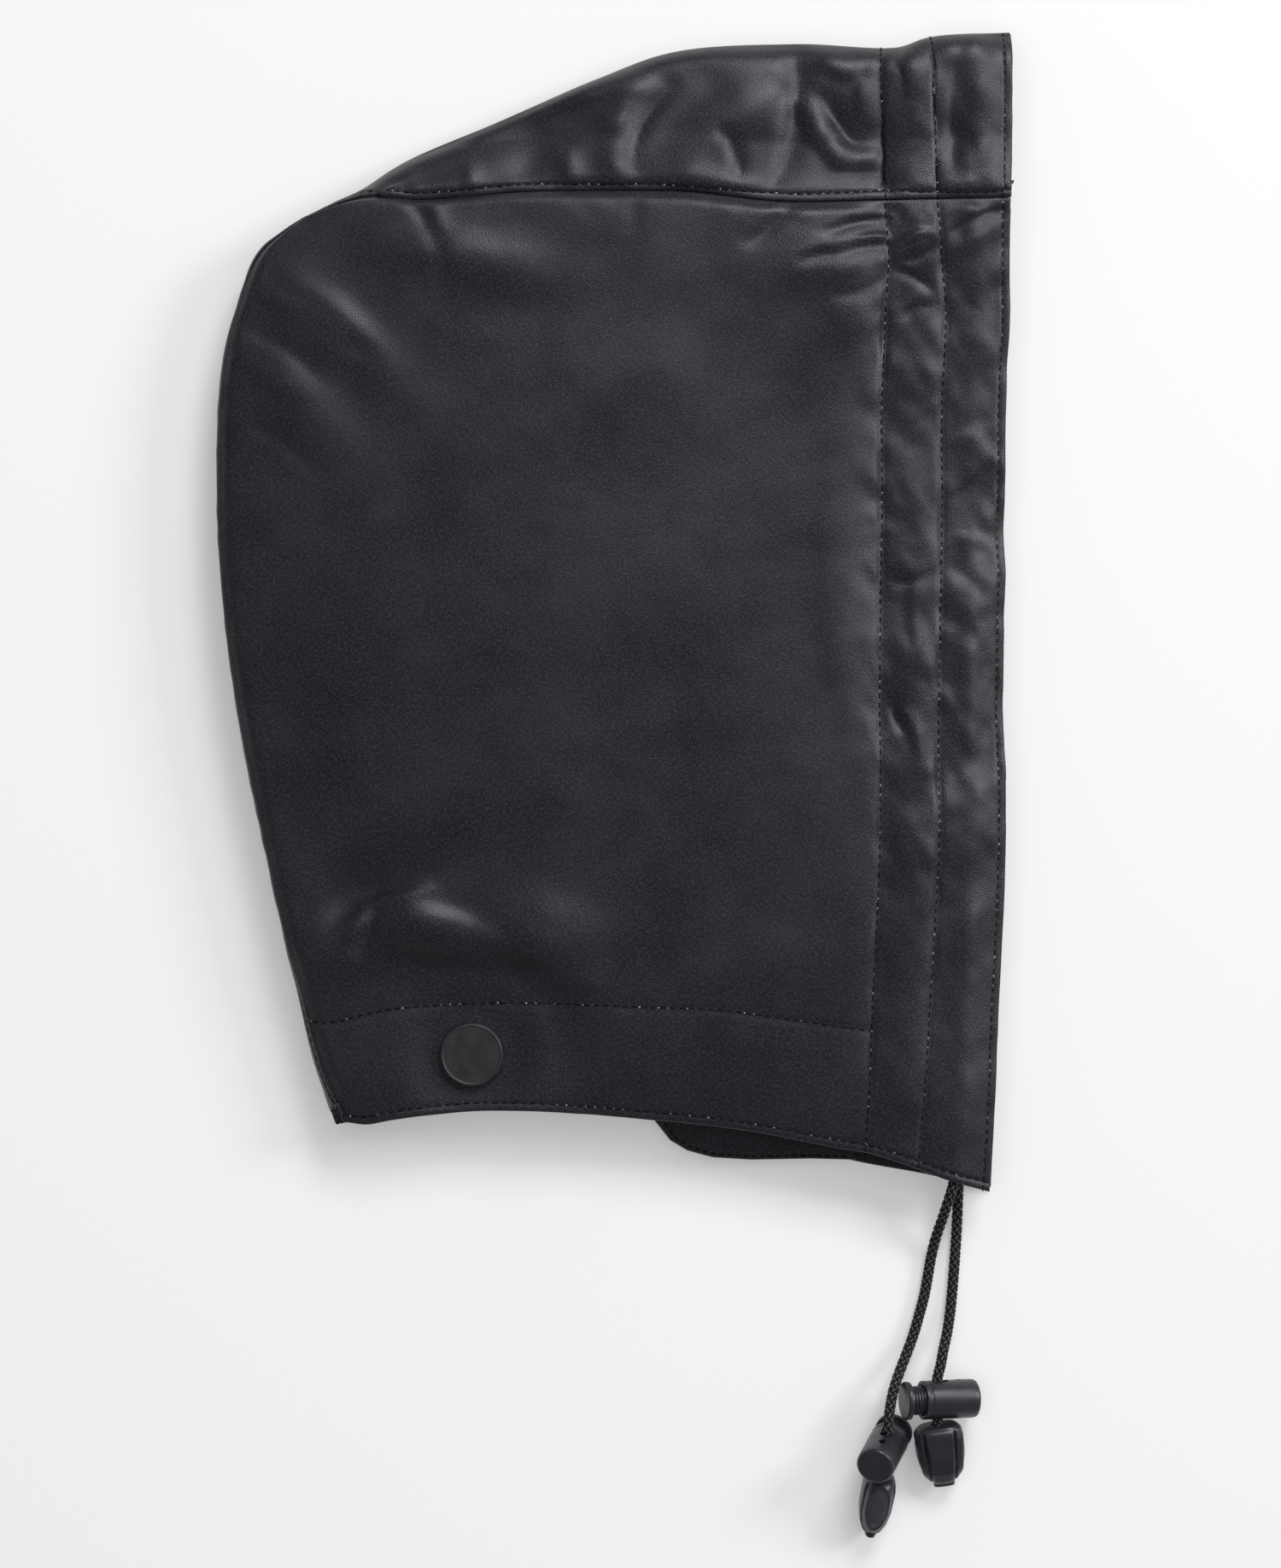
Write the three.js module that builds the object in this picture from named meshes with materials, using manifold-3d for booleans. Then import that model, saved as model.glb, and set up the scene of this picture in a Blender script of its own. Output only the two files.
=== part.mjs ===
// A detachable hood of waxed cotton, laid flat on its left side as when it is off its coat.
// Millimetres, +Z up. X runs from the back of the head to the face opening and Y from the neck to the
// crown. The origin is the bottom centre of the hood itself, its loose cord ends left out of the count.

import * as THREE from "three";
import { mergeVertices } from "three/addons/utils/BufferGeometryUtils.js";
import Module from "manifold-3d";

const wasm = await Module();
wasm.setup();

// Driving sizes of the laid hood
const HOOD_WIDTH = 246; // back outline to face edge
const HOOD_HEIGHT = 357.5; // lowest neck corner to the crown fold
const HOOD_DEPTH = 30; // height that the lifts below are shares of
const SWELL = 9; // how far the upper side stands up in its middle

// Cloth
const CLOTH = 1.2; // wall of the shell
const FACING_CLOTH = 0.9; // wall of the inside facings
const FLAP_CLOTH = 1.8; // the doubled cloth of the chin flap
const SEAM_SETBACK = 0.2; // each panel ends this far from the line of its seam
const LAYER_GAP = 0.3; // air between two layers or two touching pieces
const FACE_FACING_WIDTH = 39; // hem inside the face opening
const NECK_FACING_WIDTH = 33; // hem inside the neck edge
const FACING_SETBACK = 0.8; // a facing ends this far from a seam or from the next facing

// Drawcord
const CORD_DIAMETER = 3.2;
const CORD_SIDES = 8;
const CHANNEL_ROOM = 3.9; // how far the facing stands off round the cord
const CORD_PLAY = 0.05; // between the cord and the cloth that it lies along

// Press studs
const STUD_CAP_DIAMETER = 19.8;
const STUD_CAP_HEIGHT = 2.2;
const STUD_CAP_BEVEL = 0.6;
const STUD_POST_DIAMETER = 4;
const STUD_SOCKET_DIAMETER = 11;
const STUD_SOCKET_HEIGHT = 3;
const STUD_RECESS_DIAMETER = 7;
const STUD_RECESS_DEPTH = 1.4;
const STUD_SIDES = 16;
const STUD_TURN_CLEARANCE = 1.6; // between the back stud's socket and the turn of the neck facing
const STUD_FLAT_RADIUS = 26; // cloth lies flat this far round a stud
const STUD_FADE_RADIUS = 44; // and takes its own shape again here

// Cord locks
const BARREL_DIAMETER = 12;
const BARREL_LENGTH = 17.8;
const BARREL_END_WALL = 2;
const BARREL_EDGE = 0.5;
const PLUNGER_DIAMETER = 9;
const PLUNGER_CLEARANCE = 0.3;
const PLUNGER_INSIDE = 10.5;
const PLUNGER_NECK = 4.1; // the length that shows between barrel and head
const PLUNGER_HEAD_DIAMETER = 11.8;
const PLUNGER_HEAD_THICKNESS = 1.8;
const PLUNGER_STROKE = 3;
const CORD_HOLE_CLEARANCE = 0.3;
const BARREL_SLOT_LENGTH = 5.4;
const BARREL_SLOT_START = 3.3; // from the open end
const LOCK_SIDES = 16;

// Cord end pieces
const CORD_END_WIDTH = 15.7;
const CORD_END_LENGTH = 20.5;
const CORD_END_THICKNESS = 9.6;
const CORD_END_BEVEL = 1.4;
const CORD_END_HOLE_DEPTH = 9;
const CORD_END_BAND_WIDTH = 7.6; // at the top, raised between two grooves
const CORD_END_BAND_TIP_WIDTH = 4.8;
const CORD_END_GROOVE_WIDTH = 0.8;
const CORD_END_GROOVE_DEPTH = 0.9;

// One row for each place along the seam between side and centre panel, from the face over the crown
// and down the back to the neck. near is the upper seam, fold the outline and far the lower seam, as
// shares of width and height. lift and top are the heights of the seam and of the fold's upper side,
// and turn is the fold's half width, all three as shares of the depth.
const SEAM_STATIONS = [
  { foldX: 0.999, foldY: 1.0, nearX: 0.996, nearY: 0.858, farX: 1.0, farY: 0.857, lift: 0.6, top: 0.64, turn: 0.3 },
  { foldX: 0.901, foldY: 0.996, nearX: 0.91, nearY: 0.856, farX: 0.911, farY: 0.855, lift: 0.65, top: 0.66, turn: 0.3 },
  { foldX: 0.859, foldY: 0.987, nearX: 0.858, nearY: 0.855, farX: 0.859, farY: 0.853, lift: 0.67, top: 0.66, turn: 0.29 },
  { foldX: 0.727, foldY: 0.99, nearX: 0.71, nearY: 0.852, farX: 0.711, farY: 0.85, lift: 0.7, top: 0.65, turn: 0.25 },
  { foldX: 0.575, foldY: 0.984, nearX: 0.593, nearY: 0.86, farX: 0.604, farY: 0.848, lift: 0.71, top: 0.63, turn: 0.22 },
  { foldX: 0.482, foldY: 0.962, nearX: 0.521, nearY: 0.861, farX: 0.534, farY: 0.84, lift: 0.7, top: 0.61, turn: 0.2 },
  { foldX: 0.354, foldY: 0.925, nearX: 0.389, nearY: 0.86, farX: 0.432, farY: 0.823, lift: 0.67, top: 0.6, turn: 0.2 },
  { foldX: 0.238, foldY: 0.891, nearX: 0.262, nearY: 0.854, farX: 0.34, farY: 0.801, lift: 0.63, top: 0.58, turn: 0.18 },
  { foldX: 0.179, foldY: 0.865, nearX: 0.193, nearY: 0.857, farX: 0.287, farY: 0.782, lift: 0.6, top: 0.58, turn: 0.17 },
  { foldX: 0.117, foldY: 0.84, nearX: 0.12, nearY: 0.838, farX: 0.244, farY: 0.762, lift: 0.58, top: 0.58, turn: 0.16 },
  { foldX: 0.056, foldY: 0.813, nearX: 0.059, nearY: 0.811, farX: 0.208, farY: 0.738, lift: 0.58, top: 0.58, turn: 0.16 },
  { foldX: 0.027, foldY: 0.769, nearX: 0.03, nearY: 0.768, farX: 0.185, farY: 0.705, lift: 0.59, top: 0.59, turn: 0.16 },
  { foldX: 0.006, foldY: 0.712, nearX: 0.01, nearY: 0.711, farX: 0.171, farY: 0.664, lift: 0.6, top: 0.6, turn: 0.16 },
  { foldX: 0.0, foldY: 0.601, nearX: 0.003, nearY: 0.601, farX: 0.163, farY: 0.579, lift: 0.61, top: 0.61, turn: 0.16 },
  { foldX: 0.01, foldY: 0.49, nearX: 0.013, nearY: 0.49, farX: 0.161, farY: 0.479, lift: 0.61, top: 0.61, turn: 0.16 },
  { foldX: 0.034, foldY: 0.38, nearX: 0.038, nearY: 0.38, farX: 0.169, farY: 0.374, lift: 0.6, top: 0.6, turn: 0.16 },
  { foldX: 0.063, foldY: 0.284, nearX: 0.067, nearY: 0.284, farX: 0.185, farY: 0.284, lift: 0.59, top: 0.59, turn: 0.16 },
  { foldX: 0.087, foldY: 0.21, nearX: 0.091, nearY: 0.21, farX: 0.203, farY: 0.21, lift: 0.58, top: 0.58, turn: 0.16 },
  { foldX: 0.105, foldY: 0.158, nearX: 0.114, nearY: 0.16, farX: 0.218, farY: 0.162, lift: 0.57, top: 0.57, turn: 0.16 },
  { foldX: 0.118, foldY: 0.117, nearX: 0.132, nearY: 0.114, farX: 0.231, farY: 0.114, lift: 0.57, top: 0.57, turn: 0.16 },
  { foldX: 0.141, foldY: 0.068, nearX: 0.161, nearY: 0.06, farX: 0.244, farY: 0.064, lift: 0.56, top: 0.56, turn: 0.16 },
];
const CROWN_BACK_STATION = 9; // the row where the crown seam turns down the back

// Free edges as shares of width and height, with lift as a share of the depth
const UPPER_FACE_EDGE = [
  { x: 0.972, y: 0.0, lift: 0.47 },
  { x: 0.977, y: 0.046, lift: 0.47 },
  { x: 0.983, y: 0.144, lift: 0.46 },
  { x: 0.991, y: 0.272, lift: 0.45 },
  { x: 0.99, y: 0.439, lift: 0.45 },
  { x: 0.992, y: 0.591, lift: 0.46 },
  { x: 0.992, y: 0.675, lift: 0.48 },
  { x: 0.997, y: 0.752, lift: 0.53 },
];
const UPPER_NECK_EDGE = [
  { x: 0.922, y: 0.01, lift: 0.6 },
  { x: 0.836, y: 0.031, lift: 0.62 },
  { x: 0.765, y: 0.041, lift: 0.61 },
  { x: 0.658, y: 0.055, lift: 0.6 },
  { x: 0.54, y: 0.064, lift: 0.6 },
  { x: 0.449, y: 0.069, lift: 0.61 },
  { x: 0.336, y: 0.071, lift: 0.62 },
  { x: 0.279, y: 0.068, lift: 0.61 },
  { x: 0.222, y: 0.063, lift: 0.58 },
  { x: 0.19, y: 0.059, lift: 0.57 },
];
const LOWER_FACE_EDGE = [
  { x: 0.977, y: 0.001, lift: 0 },
  { x: 0.981, y: 0.069, lift: 0 },
  { x: 0.987, y: 0.272, lift: 0 },
  { x: 0.987, y: 0.439, lift: 0 },
  { x: 0.991, y: 0.675, lift: 0 },
];
const LOWER_NECK_EDGE = [
  { x: 0.888, y: 0.013, lift: 0 },
  { x: 0.802, y: 0.024, lift: 0 },
  { x: 0.695, y: 0.044, lift: 0 },
  { x: 0.54, y: 0.065, lift: 0 },
  { x: 0.373, y: 0.071, lift: 0 },
];

// Broad folds and one dent of the upper side: place as shares of width and height, angle in degrees
// from X, half length and half width as shares of the width, rise as a share of the depth
const UPPER_FOLDS = [
  { x: 0.153, y: 0.739, angle: -39, length: 0.1, width: 0.034, rise: 0.07 },
  { x: 0.11, y: 0.68, angle: -47, length: 0.08, width: 0.034, rise: 0.06 },
  { x: 0.314, y: 0.805, angle: -10, length: 0.1, width: 0.034, rise: 0.07 },
  { x: 0.775, y: 0.81, angle: 22, length: 0.08, width: 0.034, rise: 0.08 },
  { x: 0.79, y: 0.76, angle: 48, length: 0.08, width: 0.034, rise: 0.06 },
  { x: 0.19, y: 0.255, angle: 28, length: 0.07, width: 0.045, rise: -0.14 },
  { x: 0.19, y: 0.222, angle: 28, length: 0.11, width: 0.034, rise: 0.1 },
  { x: 0.283, y: 0.216, angle: -23, length: 0.09, width: 0.036, rise: 0.08 },
  { x: 0.438, y: 0.23, angle: -24, length: 0.07, width: 0.036, rise: 0.06 },
];

// The chin flap's outline, as shares of width and height
const CHIN_FLAP_OUTLINE = [
  { x: 0.806, y: 0.024 },
  { x: 0.749, y: 0.025 },
  { x: 0.673, y: 0.024 },
  { x: 0.625, y: 0.026 },
  { x: 0.593, y: 0.032 },
  { x: 0.571, y: 0.041 },
  { x: 0.547, y: 0.062 },
  { x: 0.518, y: 0.088 },
  { x: 0.51, y: 0.1 },
  { x: 0.525, y: 0.109 },
  { x: 0.588, y: 0.112 },
  { x: 0.806, y: 0.1 },
];

// Press stud places, as shares of width and height
const STUD_RIGHT = { x: 0.322, y: 0.118, lift: 0.64 };
const STUD_LEFT = { x: 0.426, y: 0.117 };
const STUD_BACK_Y = 0.118;
const STUD_BACK_OUTLINE_X = 0.118; // the outline beside the back stud

// Grid lines of the side panels, as shares of the facing widths, then evenly spaced
const FACE_COLUMNS = [0, 0.14, 0.28, 0.42, 0.56, 0.78, 1];
const FACE_STAND_OFF = [0, 0.62, 1, 0.62, 0, 0, 0]; // share of the channel room at each column
const CORD_COLUMN = FACE_STAND_OFF.indexOf(1); // the cord runs along it, 11 mm from the face edge
const BODY_COLUMNS = 11;
const NECK_ROWS = [0, 0.26, 0.52, 0.76, 1];
const BODY_ROWS = 12;
const FOLD_STEPS = 10; // steps of the centre panel from the upper seam to the table
const UNDER_STEPS = 4; // and from there to the lower seam

// Routes of the two free cord ends, chosen by hand, from the channel to the end piece
const CORD_A_ROUTE = [
  [105.1, -177.2, 15.1],
  [104.2, -180.5, 14.4],
  [103.2, -184.0, 12.6],
  [102.2, -188.0, 9.7],
  [101.1, -192.0, 6.5],
  [100.0, -196.5, 3.6],
  [99.0, -201.5, 2.0],
  [98.1, -207.0, 1.7],
  [97.0, -213.0, 1.7],
  [95.4, -219.0, 1.9],
  [93.6, -225.0, 2.7],
  [91.2, -231.0, 4.7],
  [88.7, -236.6, 7.9],
  [86.8, -241.4, 11.5],
  [85.8, -245.2, 14.0],
  [85.2, -248.9, 15.4],
  [84.87, -252.8, 15.27],
  [84.53, -255.8, 13.93],
  [84.2, -258.8, 12.6],
  [83.87, -261.8, 11.27],
  [83.53, -264.8, 9.93],
  [83.15, -267.7, 9.65],
  [82.67, -270.4, 8.98],
  [82.19, -273.1, 8.32],
  [81.7, -275.8, 7.62],
];
const CORD_B_ROUTE = [
  [107.5, -178.6, 3.2],
  [107.4, -182.5, 3.0],
  [107.3, -187.0, 2.3],
  [107.1, -192.5, 1.8],
  [106.7, -199.0, 1.7],
  [106.2, -206.0, 1.7],
  [105.6, -213.0, 1.8],
  [104.9, -219.0, 2.6],
  [103.9, -224.5, 4.4],
  [102.6, -229.5, 6.8],
  [101.6, -234.0, 8.8],
  [100.6, -237.9, 9.3],
  [100.6, -241.2, 9.3],
  [100.6, -244.5, 9.3],
  [100.6, -247.8, 9.3],
  [100.6, -251.1, 9.3],
  [100.8, -254.5, 8.8],
  [101.2, -257.5, 8.1],
  [101.6, -260.5, 7.4],
];

// Where the cord passes each lock, as a row of its route, and which way the lock points from its
// closed end to its plunger
const LOCK_A = { row: 18, axis: [0.312, 0.355, -0.881] };
const LOCK_B = { row: 13, axis: [-0.961, 0.0, 0.276] };

const clothMaterial = new THREE.MeshStandardMaterial({ color: 0x2c2a30, roughness: 0.62, metalness: 0 });
const facingMaterial = new THREE.MeshStandardMaterial({ color: 0x242227, roughness: 0.75, metalness: 0 });
const cordMaterial = new THREE.MeshStandardMaterial({ color: 0x1b1b1d, roughness: 0.8, metalness: 0 });
const plasticMaterial = new THREE.MeshStandardMaterial({ color: 0x17171a, roughness: 0.45, metalness: 0 });
const studMaterial = new THREE.MeshStandardMaterial({ color: 0x1c1c1f, roughness: 0.5, metalness: 0.3 });
const socketMaterial = new THREE.MeshStandardMaterial({ color: 0x3a3a3d, roughness: 0.35, metalness: 0.9 });

const hood = new THREE.Group();
const cordPieces = new THREE.Group();

function addPiece(group, name, geometry, material) {
  const mesh = new THREE.Mesh(geometry, material);
  mesh.name = name;
  group.add(mesh);
  return mesh;
}

// Places and blends

function place(x, y, z) {
  return new THREE.Vector3((x - 0.5) * HOOD_WIDTH, (y - 0.5) * HOOD_HEIGHT, z);
}

function fade(distance, full, none) {
  return 1 - THREE.MathUtils.smoothstep(distance, full, none);
}

const studRight = place(STUD_RIGHT.x, STUD_RIGHT.y, STUD_RIGHT.lift * HOOD_DEPTH);
const studLeft = place(STUD_LEFT.x, STUD_LEFT.y, 0);
const studBack = place(STUD_BACK_OUTLINE_X, STUD_BACK_Y, 0);
const STUD_BACK_INSET = CLOTH + LAYER_GAP + FACING_CLOTH + STUD_SOCKET_DIAMETER / 2 + STUD_TURN_CLEARANCE;
studBack.x += STUD_BACK_INSET;
const UNDERSIDE_LIFT = STUD_CAP_HEIGHT + LAYER_GAP;

// Height of the lower layer's outside: on the table, but lifted over the two studs beneath it
function underside(x, y) {
  const left = fade(Math.hypot(x - studLeft.x, y - studLeft.y), STUD_FLAT_RADIUS, STUD_FADE_RADIUS);
  const back = fade(Math.hypot(x - studBack.x, y - studBack.y), STUD_FLAT_RADIUS, STUD_FADE_RADIUS);
  return UNDERSIDE_LIFT * Math.max(left, back);
}

function foldRise(x, y) {
  let rise = 0;
  for (const fold of UPPER_FOLDS) {
    const centre = place(fold.x, fold.y, 0);
    const turned = new THREE.Vector2(x - centre.x, y - centre.y);
    turned.rotateAround(new THREE.Vector2(), -THREE.MathUtils.degToRad(fold.angle));
    const along = turned.x / (fold.length * HOOD_WIDTH);
    const across = turned.y / (fold.width * HOOD_WIDTH);
    rise += fold.rise * HOOD_DEPTH * Math.exp(-along * along - across * across);
  }
  return rise;
}

// Seam lines

function stationCurve(xKey, yKey) {
  const points = SEAM_STATIONS.map((row) => place(row[xKey], row[yKey], row.lift * HOOD_DEPTH));
  return new THREE.CatmullRomCurve3(points);
}

function stationValue(key, position) {
  const row = Math.min(Math.floor(position), SEAM_STATIONS.length - 2);
  const first = SEAM_STATIONS[row][key];
  const second = SEAM_STATIONS[row + 1][key];
  return THREE.MathUtils.lerp(first, second, position - row);
}

const lastStation = SEAM_STATIONS.length - 1;
const nearSeam = stationCurve("nearX", "nearY");
const foldLine = stationCurve("foldX", "foldY");
const farSeam = stationCurve("farX", "farY");

// Lengths of the upper seam before and after the corner between crown and back
const seamLength = nearSeam.getLength();
const crownSeamLength = lengthTo(nearSeam, CROWN_BACK_STATION / lastStation);
const backSeamLength = seamLength - crownSeamLength;

function lengthTo(curve, parameter) {
  const samples = 400;
  let length = 0;
  let last = curve.getPoint(0);
  for (let i = 1; i <= samples; i++) {
    const next = curve.getPoint((parameter * i) / samples);
    length += last.distanceTo(next);
    last = next;
  }
  return length;
}

// Distance from the face edge of each grid column on a row of the given length
function columnReach(column, length) {
  const faceColumns = FACE_COLUMNS.length - 1;
  if (column <= faceColumns) {
    return FACE_COLUMNS[column] * FACE_FACING_WIDTH;
  }
  const share = (column - faceColumns) / BODY_COLUMNS;
  return Math.min(length, FACE_FACING_WIDTH + (length - FACE_FACING_WIDTH) * share);
}

// Distance from the neck edge of each grid row on a column of the given length
function rowReach(row, length) {
  const neckRows = NECK_ROWS.length - 1;
  if (row <= neckRows) {
    return NECK_ROWS[row] * NECK_FACING_WIDTH;
  }
  const share = (row - neckRows) / BODY_ROWS;
  return Math.min(length, NECK_FACING_WIDTH + (length - NECK_FACING_WIDTH) * share);
}

const lastColumn = FACE_COLUMNS.length - 1 + BODY_COLUMNS;
const lastRow = NECK_ROWS.length - 1 + BODY_ROWS;

// Places along the seam where the side panels' columns and rows meet it, as rows of the table
function seamPositions() {
  const positions = [];
  for (let column = 0; column <= lastColumn; column++) {
    const share = columnReach(column, crownSeamLength) / seamLength;
    positions.push(nearSeam.getUtoTmapping(share) * lastStation);
  }
  for (let row = lastRow - 1; row >= 0; row--) {
    const share = 1 - rowReach(row, backSeamLength) / seamLength;
    positions.push(nearSeam.getUtoTmapping(share) * lastStation);
  }
  return positions;
}

const seamPlaces = seamPositions();

function nearPoint(position) {
  return nearSeam.getPoint(position / lastStation);
}

function farPoint(position) {
  const point = farSeam.getPoint(position / lastStation);
  point.z = underside(point.x, point.y);
  return point;
}

// Side panels: a patch filled in between the face edge, the neck edge and the seam

function edgeCurve(rows, start, end) {
  const points = rows.map((row) => place(row.x, row.y, row.lift * HOOD_DEPTH));
  return new THREE.CatmullRomCurve3([...start, ...points, ...end]);
}

function mix(a, b, share) {
  return new THREE.Vector3().lerpVectors(a, b, share);
}

function sidePatch(faceRows, neckRows, seamPoint, heightAt) {
  const crownFace = seamPoint(seamPlaces[0]);
  const crownBack = seamPoint(seamPlaces[lastColumn]);
  const neckBack = seamPoint(seamPlaces[seamPlaces.length - 1]);
  const face = edgeCurve(faceRows, [], [crownFace]);
  const neckFace = face.getPoint(0);
  const neck = edgeCurve(neckRows, [neckFace], [neckBack]);
  const faceLength = face.getLength();
  const neckLength = neck.getLength();
  const grid = [];
  for (let column = 0; column <= lastColumn; column++) {
    const onNeck = columnReach(column, neckLength) / neckLength;
    const onCrown = columnReach(column, crownSeamLength) / crownSeamLength;
    const crownPoint = seamPoint(seamPlaces[column]);
    const line = [];
    for (let row = 0; row <= lastRow; row++) {
      const onFace = rowReach(row, faceLength) / faceLength;
      const onBack = rowReach(row, backSeamLength) / backSeamLength;
      const backPoint = seamPoint(seamPlaces[seamPlaces.length - 1 - row]);
      let across = (onNeck + onCrown) / 2;
      let up = (onFace + onBack) / 2;
      for (let pass = 0; pass < 3; pass++) {
        across = THREE.MathUtils.lerp(onNeck, onCrown, up);
        up = THREE.MathUtils.lerp(onFace, onBack, across);
      }
      const point = mix(neck.getPointAt(onNeck), crownPoint, up);
      point.add(mix(face.getPointAt(onFace), backPoint, across));
      point.sub(mix(mix(neckFace, neckBack, across), mix(crownFace, crownBack, across), up));
      point.z = heightAt(point, across, up);
      line.push(point);
    }
    grid.push(line);
  }
  return grid;
}

function upperHeight(point, across, up) {
  const middle = Math.sin(Math.PI * Math.min(1, across)) ** 0.9 * Math.sin(Math.PI * Math.min(1, up)) ** 0.7;
  const inside = Math.min(1, 12 * Math.min(across, 1 - across, up, 1 - up));
  const free = point.z + SWELL * middle + inside * foldRise(point.x, point.y);
  const distance = Math.hypot(point.x - studRight.x, point.y - studRight.y);
  return THREE.MathUtils.lerp(free, studRight.z, fade(distance, STUD_FLAT_RADIUS, STUD_FADE_RADIUS));
}

function lowerHeight(point) {
  return underside(point.x, point.y);
}

// Centre panel: one section for each place along the seam, from the upper seam over the fold and back
// along the table to the lower seam

function foldSection(position) {
  const near = nearPoint(position);
  const fold = foldLine.getPoint(position / lastStation);
  const far = farPoint(position);
  const outward = new THREE.Vector3(fold.x - near.x, fold.y - near.y, 0);
  const reach = outward.length();
  outward.normalize();
  const turn = stationValue("turn", position) * HOOD_DEPTH;
  const flat = Math.max(0, reach - turn);
  const start = Math.asin(Math.min(0.97, Math.max(0, (turn - reach) / turn)));
  const upper = flat > 0 ? stationValue("top", position) * HOOD_DEPTH : near.z;
  const foot = near.clone().addScaledVector(outward, reach - turn);
  foot.z = underside(foot.x, foot.y);
  const rise = (upper - foot.z) / (1 + Math.cos(start));
  const section = [];
  const flatShare = 0.4 * Math.min(1, flat / (0.5 * HOOD_DEPTH));
  for (let step = 0; step <= FOLD_STEPS; step++) {
    const along = step / FOLD_STEPS;
    const point = near.clone();
    if (along < flatShare) {
      const share = along / flatShare;
      point.addScaledVector(outward, flat * share);
      point.z = THREE.MathUtils.lerp(near.z, upper, share) + 0.04 * HOOD_DEPTH * Math.sin(Math.PI * share);
    } else {
      const angle = THREE.MathUtils.lerp(start, Math.PI, (along - flatShare) / (1 - flatShare));
      point.addScaledVector(outward, reach - turn + turn * Math.sin(angle));
      point.z = foot.z + rise * (1 + Math.cos(angle));
    }
    section.push(point);
  }
  section[0].z = near.z;
  for (let step = 1; step <= UNDER_STEPS; step++) {
    const point = mix(foot, far, step / UNDER_STEPS);
    point.z = underside(point.x, point.y);
    section.push(point);
  }
  return section;
}

// Surfaces: a grid of outer points, each with the vector that leads one millimetre inwards

function outwardNormals(grid, upAtStart) {
  const normals = grid.map((line, i) =>
    line.map((point, j) => {
      const before = grid[Math.max(0, i - 1)][j];
      const after = grid[Math.min(grid.length - 1, i + 1)][j];
      const below = line[Math.max(0, j - 1)];
      const above = line[Math.min(line.length - 1, j + 1)];
      return after.clone().sub(before).cross(above.clone().sub(below)).normalize();
    }),
  );
  const sign = Math.sign(normals[0][0].z) * (upAtStart ? 1 : -1);
  normals.forEach((line) => line.forEach((normal) => normal.multiplyScalar(sign)));
  return normals;
}

// Both panels of a seam end on the plane halfway between them
function mitre(first, second) {
  const half = first.clone().add(second).normalize();
  const inward = half.clone().multiplyScalar(-1 / Math.max(0.5, half.dot(first)));
  first.copy(inward);
  second.copy(inward);
}

function buildShell() {
  const upper = sidePatch(UPPER_FACE_EDGE, UPPER_NECK_EDGE, nearPoint, upperHeight);
  const lower = sidePatch(LOWER_FACE_EDGE, LOWER_NECK_EDGE, farPoint, lowerHeight);
  const centre = seamPlaces.map(foldSection);
  // The stud's flat place reaches the seam, so the centre panel starts at the side panel's own edge
  seamPlaces.forEach((unused, place) => {
    const point = place <= lastColumn ? upper[place][lastRow] : upper[lastColumn][seamPlaces.length - 1 - place];
    centre[place][0].copy(point);
  });
  const upperIn = outwardNormals(upper, true);
  const lowerIn = outwardNormals(lower, false);
  const centreIn = outwardNormals(centre, true);
  const underEnd = FOLD_STEPS + UNDER_STEPS;
  const seams = new Set();
  seamPlaces.forEach((unused, place) => {
    const onCrown = place <= lastColumn;
    const column = onCrown ? place : lastColumn;
    const row = onCrown ? lastRow : seamPlaces.length - 1 - place;
    mitre(upperIn[column][row], centreIn[place][0]);
    mitre(lowerIn[column][row], centreIn[place][underEnd]);
    seams.add(upperIn[column][row]);
    seams.add(lowerIn[column][row]);
    seams.add(centreIn[place][0]);
    seams.add(centreIn[place][underEnd]);
  });
  [upperIn, lowerIn, centreIn].forEach((field) =>
    field.forEach((line) => line.forEach((vector) => seams.has(vector) || vector.negate())),
  );
  return {
    upper: { points: upper, inward: upperIn },
    lower: { points: lower, inward: lowerIn },
    centre: { points: centre, inward: centreIn },
  };
}

// A piece of a surface between two depths, with each side set back by its own distance
function sheetPiece(surface, range, depths, setback, standOff) {
  const columns = range.columns[1] - range.columns[0];
  const rows = range.rows[1] - range.rows[0];
  const layer = (depth) => {
    const grid = [];
    for (let i = 0; i <= columns; i++) {
      const line = [];
      for (let j = 0; j <= rows; j++) {
        const column = range.columns[0] + i;
        const row = range.rows[0] + j;
        const lift = depth > CLOTH ? standOff(column, row) : 0;
        const inward = surface.inward[column][row];
        line.push(surface.points[column][row].clone().addScaledVector(inward, depth + lift));
      }
      grid.push(line);
    }
    return grid;
  };
  const outer = setBack(layer(depths[0]), setback);
  const inner = setBack(layer(depths[1]), setback);
  return sheetSolid(outer, inner);
}

function setBack(grid, setback) {
  const last = grid.length - 1;
  const end = grid[0].length - 1;
  const moved = grid.map((line) => line.map((point) => point.clone()));
  const pull = (i, j, towardI, towardJ, distance) => {
    const step = grid[towardI][towardJ].clone().sub(grid[i][j]).setLength(distance);
    moved[i][j].add(step);
  };
  for (let j = 0; j <= end; j++) {
    if (setback.first) pull(0, j, 1, j, setback.first);
    if (setback.last) pull(last, j, last - 1, j, setback.last);
  }
  for (let i = 0; i <= last; i++) {
    if (setback.bottom) pull(i, 0, i, 1, setback.bottom);
    if (setback.top) pull(i, end, i, end - 1, setback.top);
  }
  return moved;
}

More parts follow.
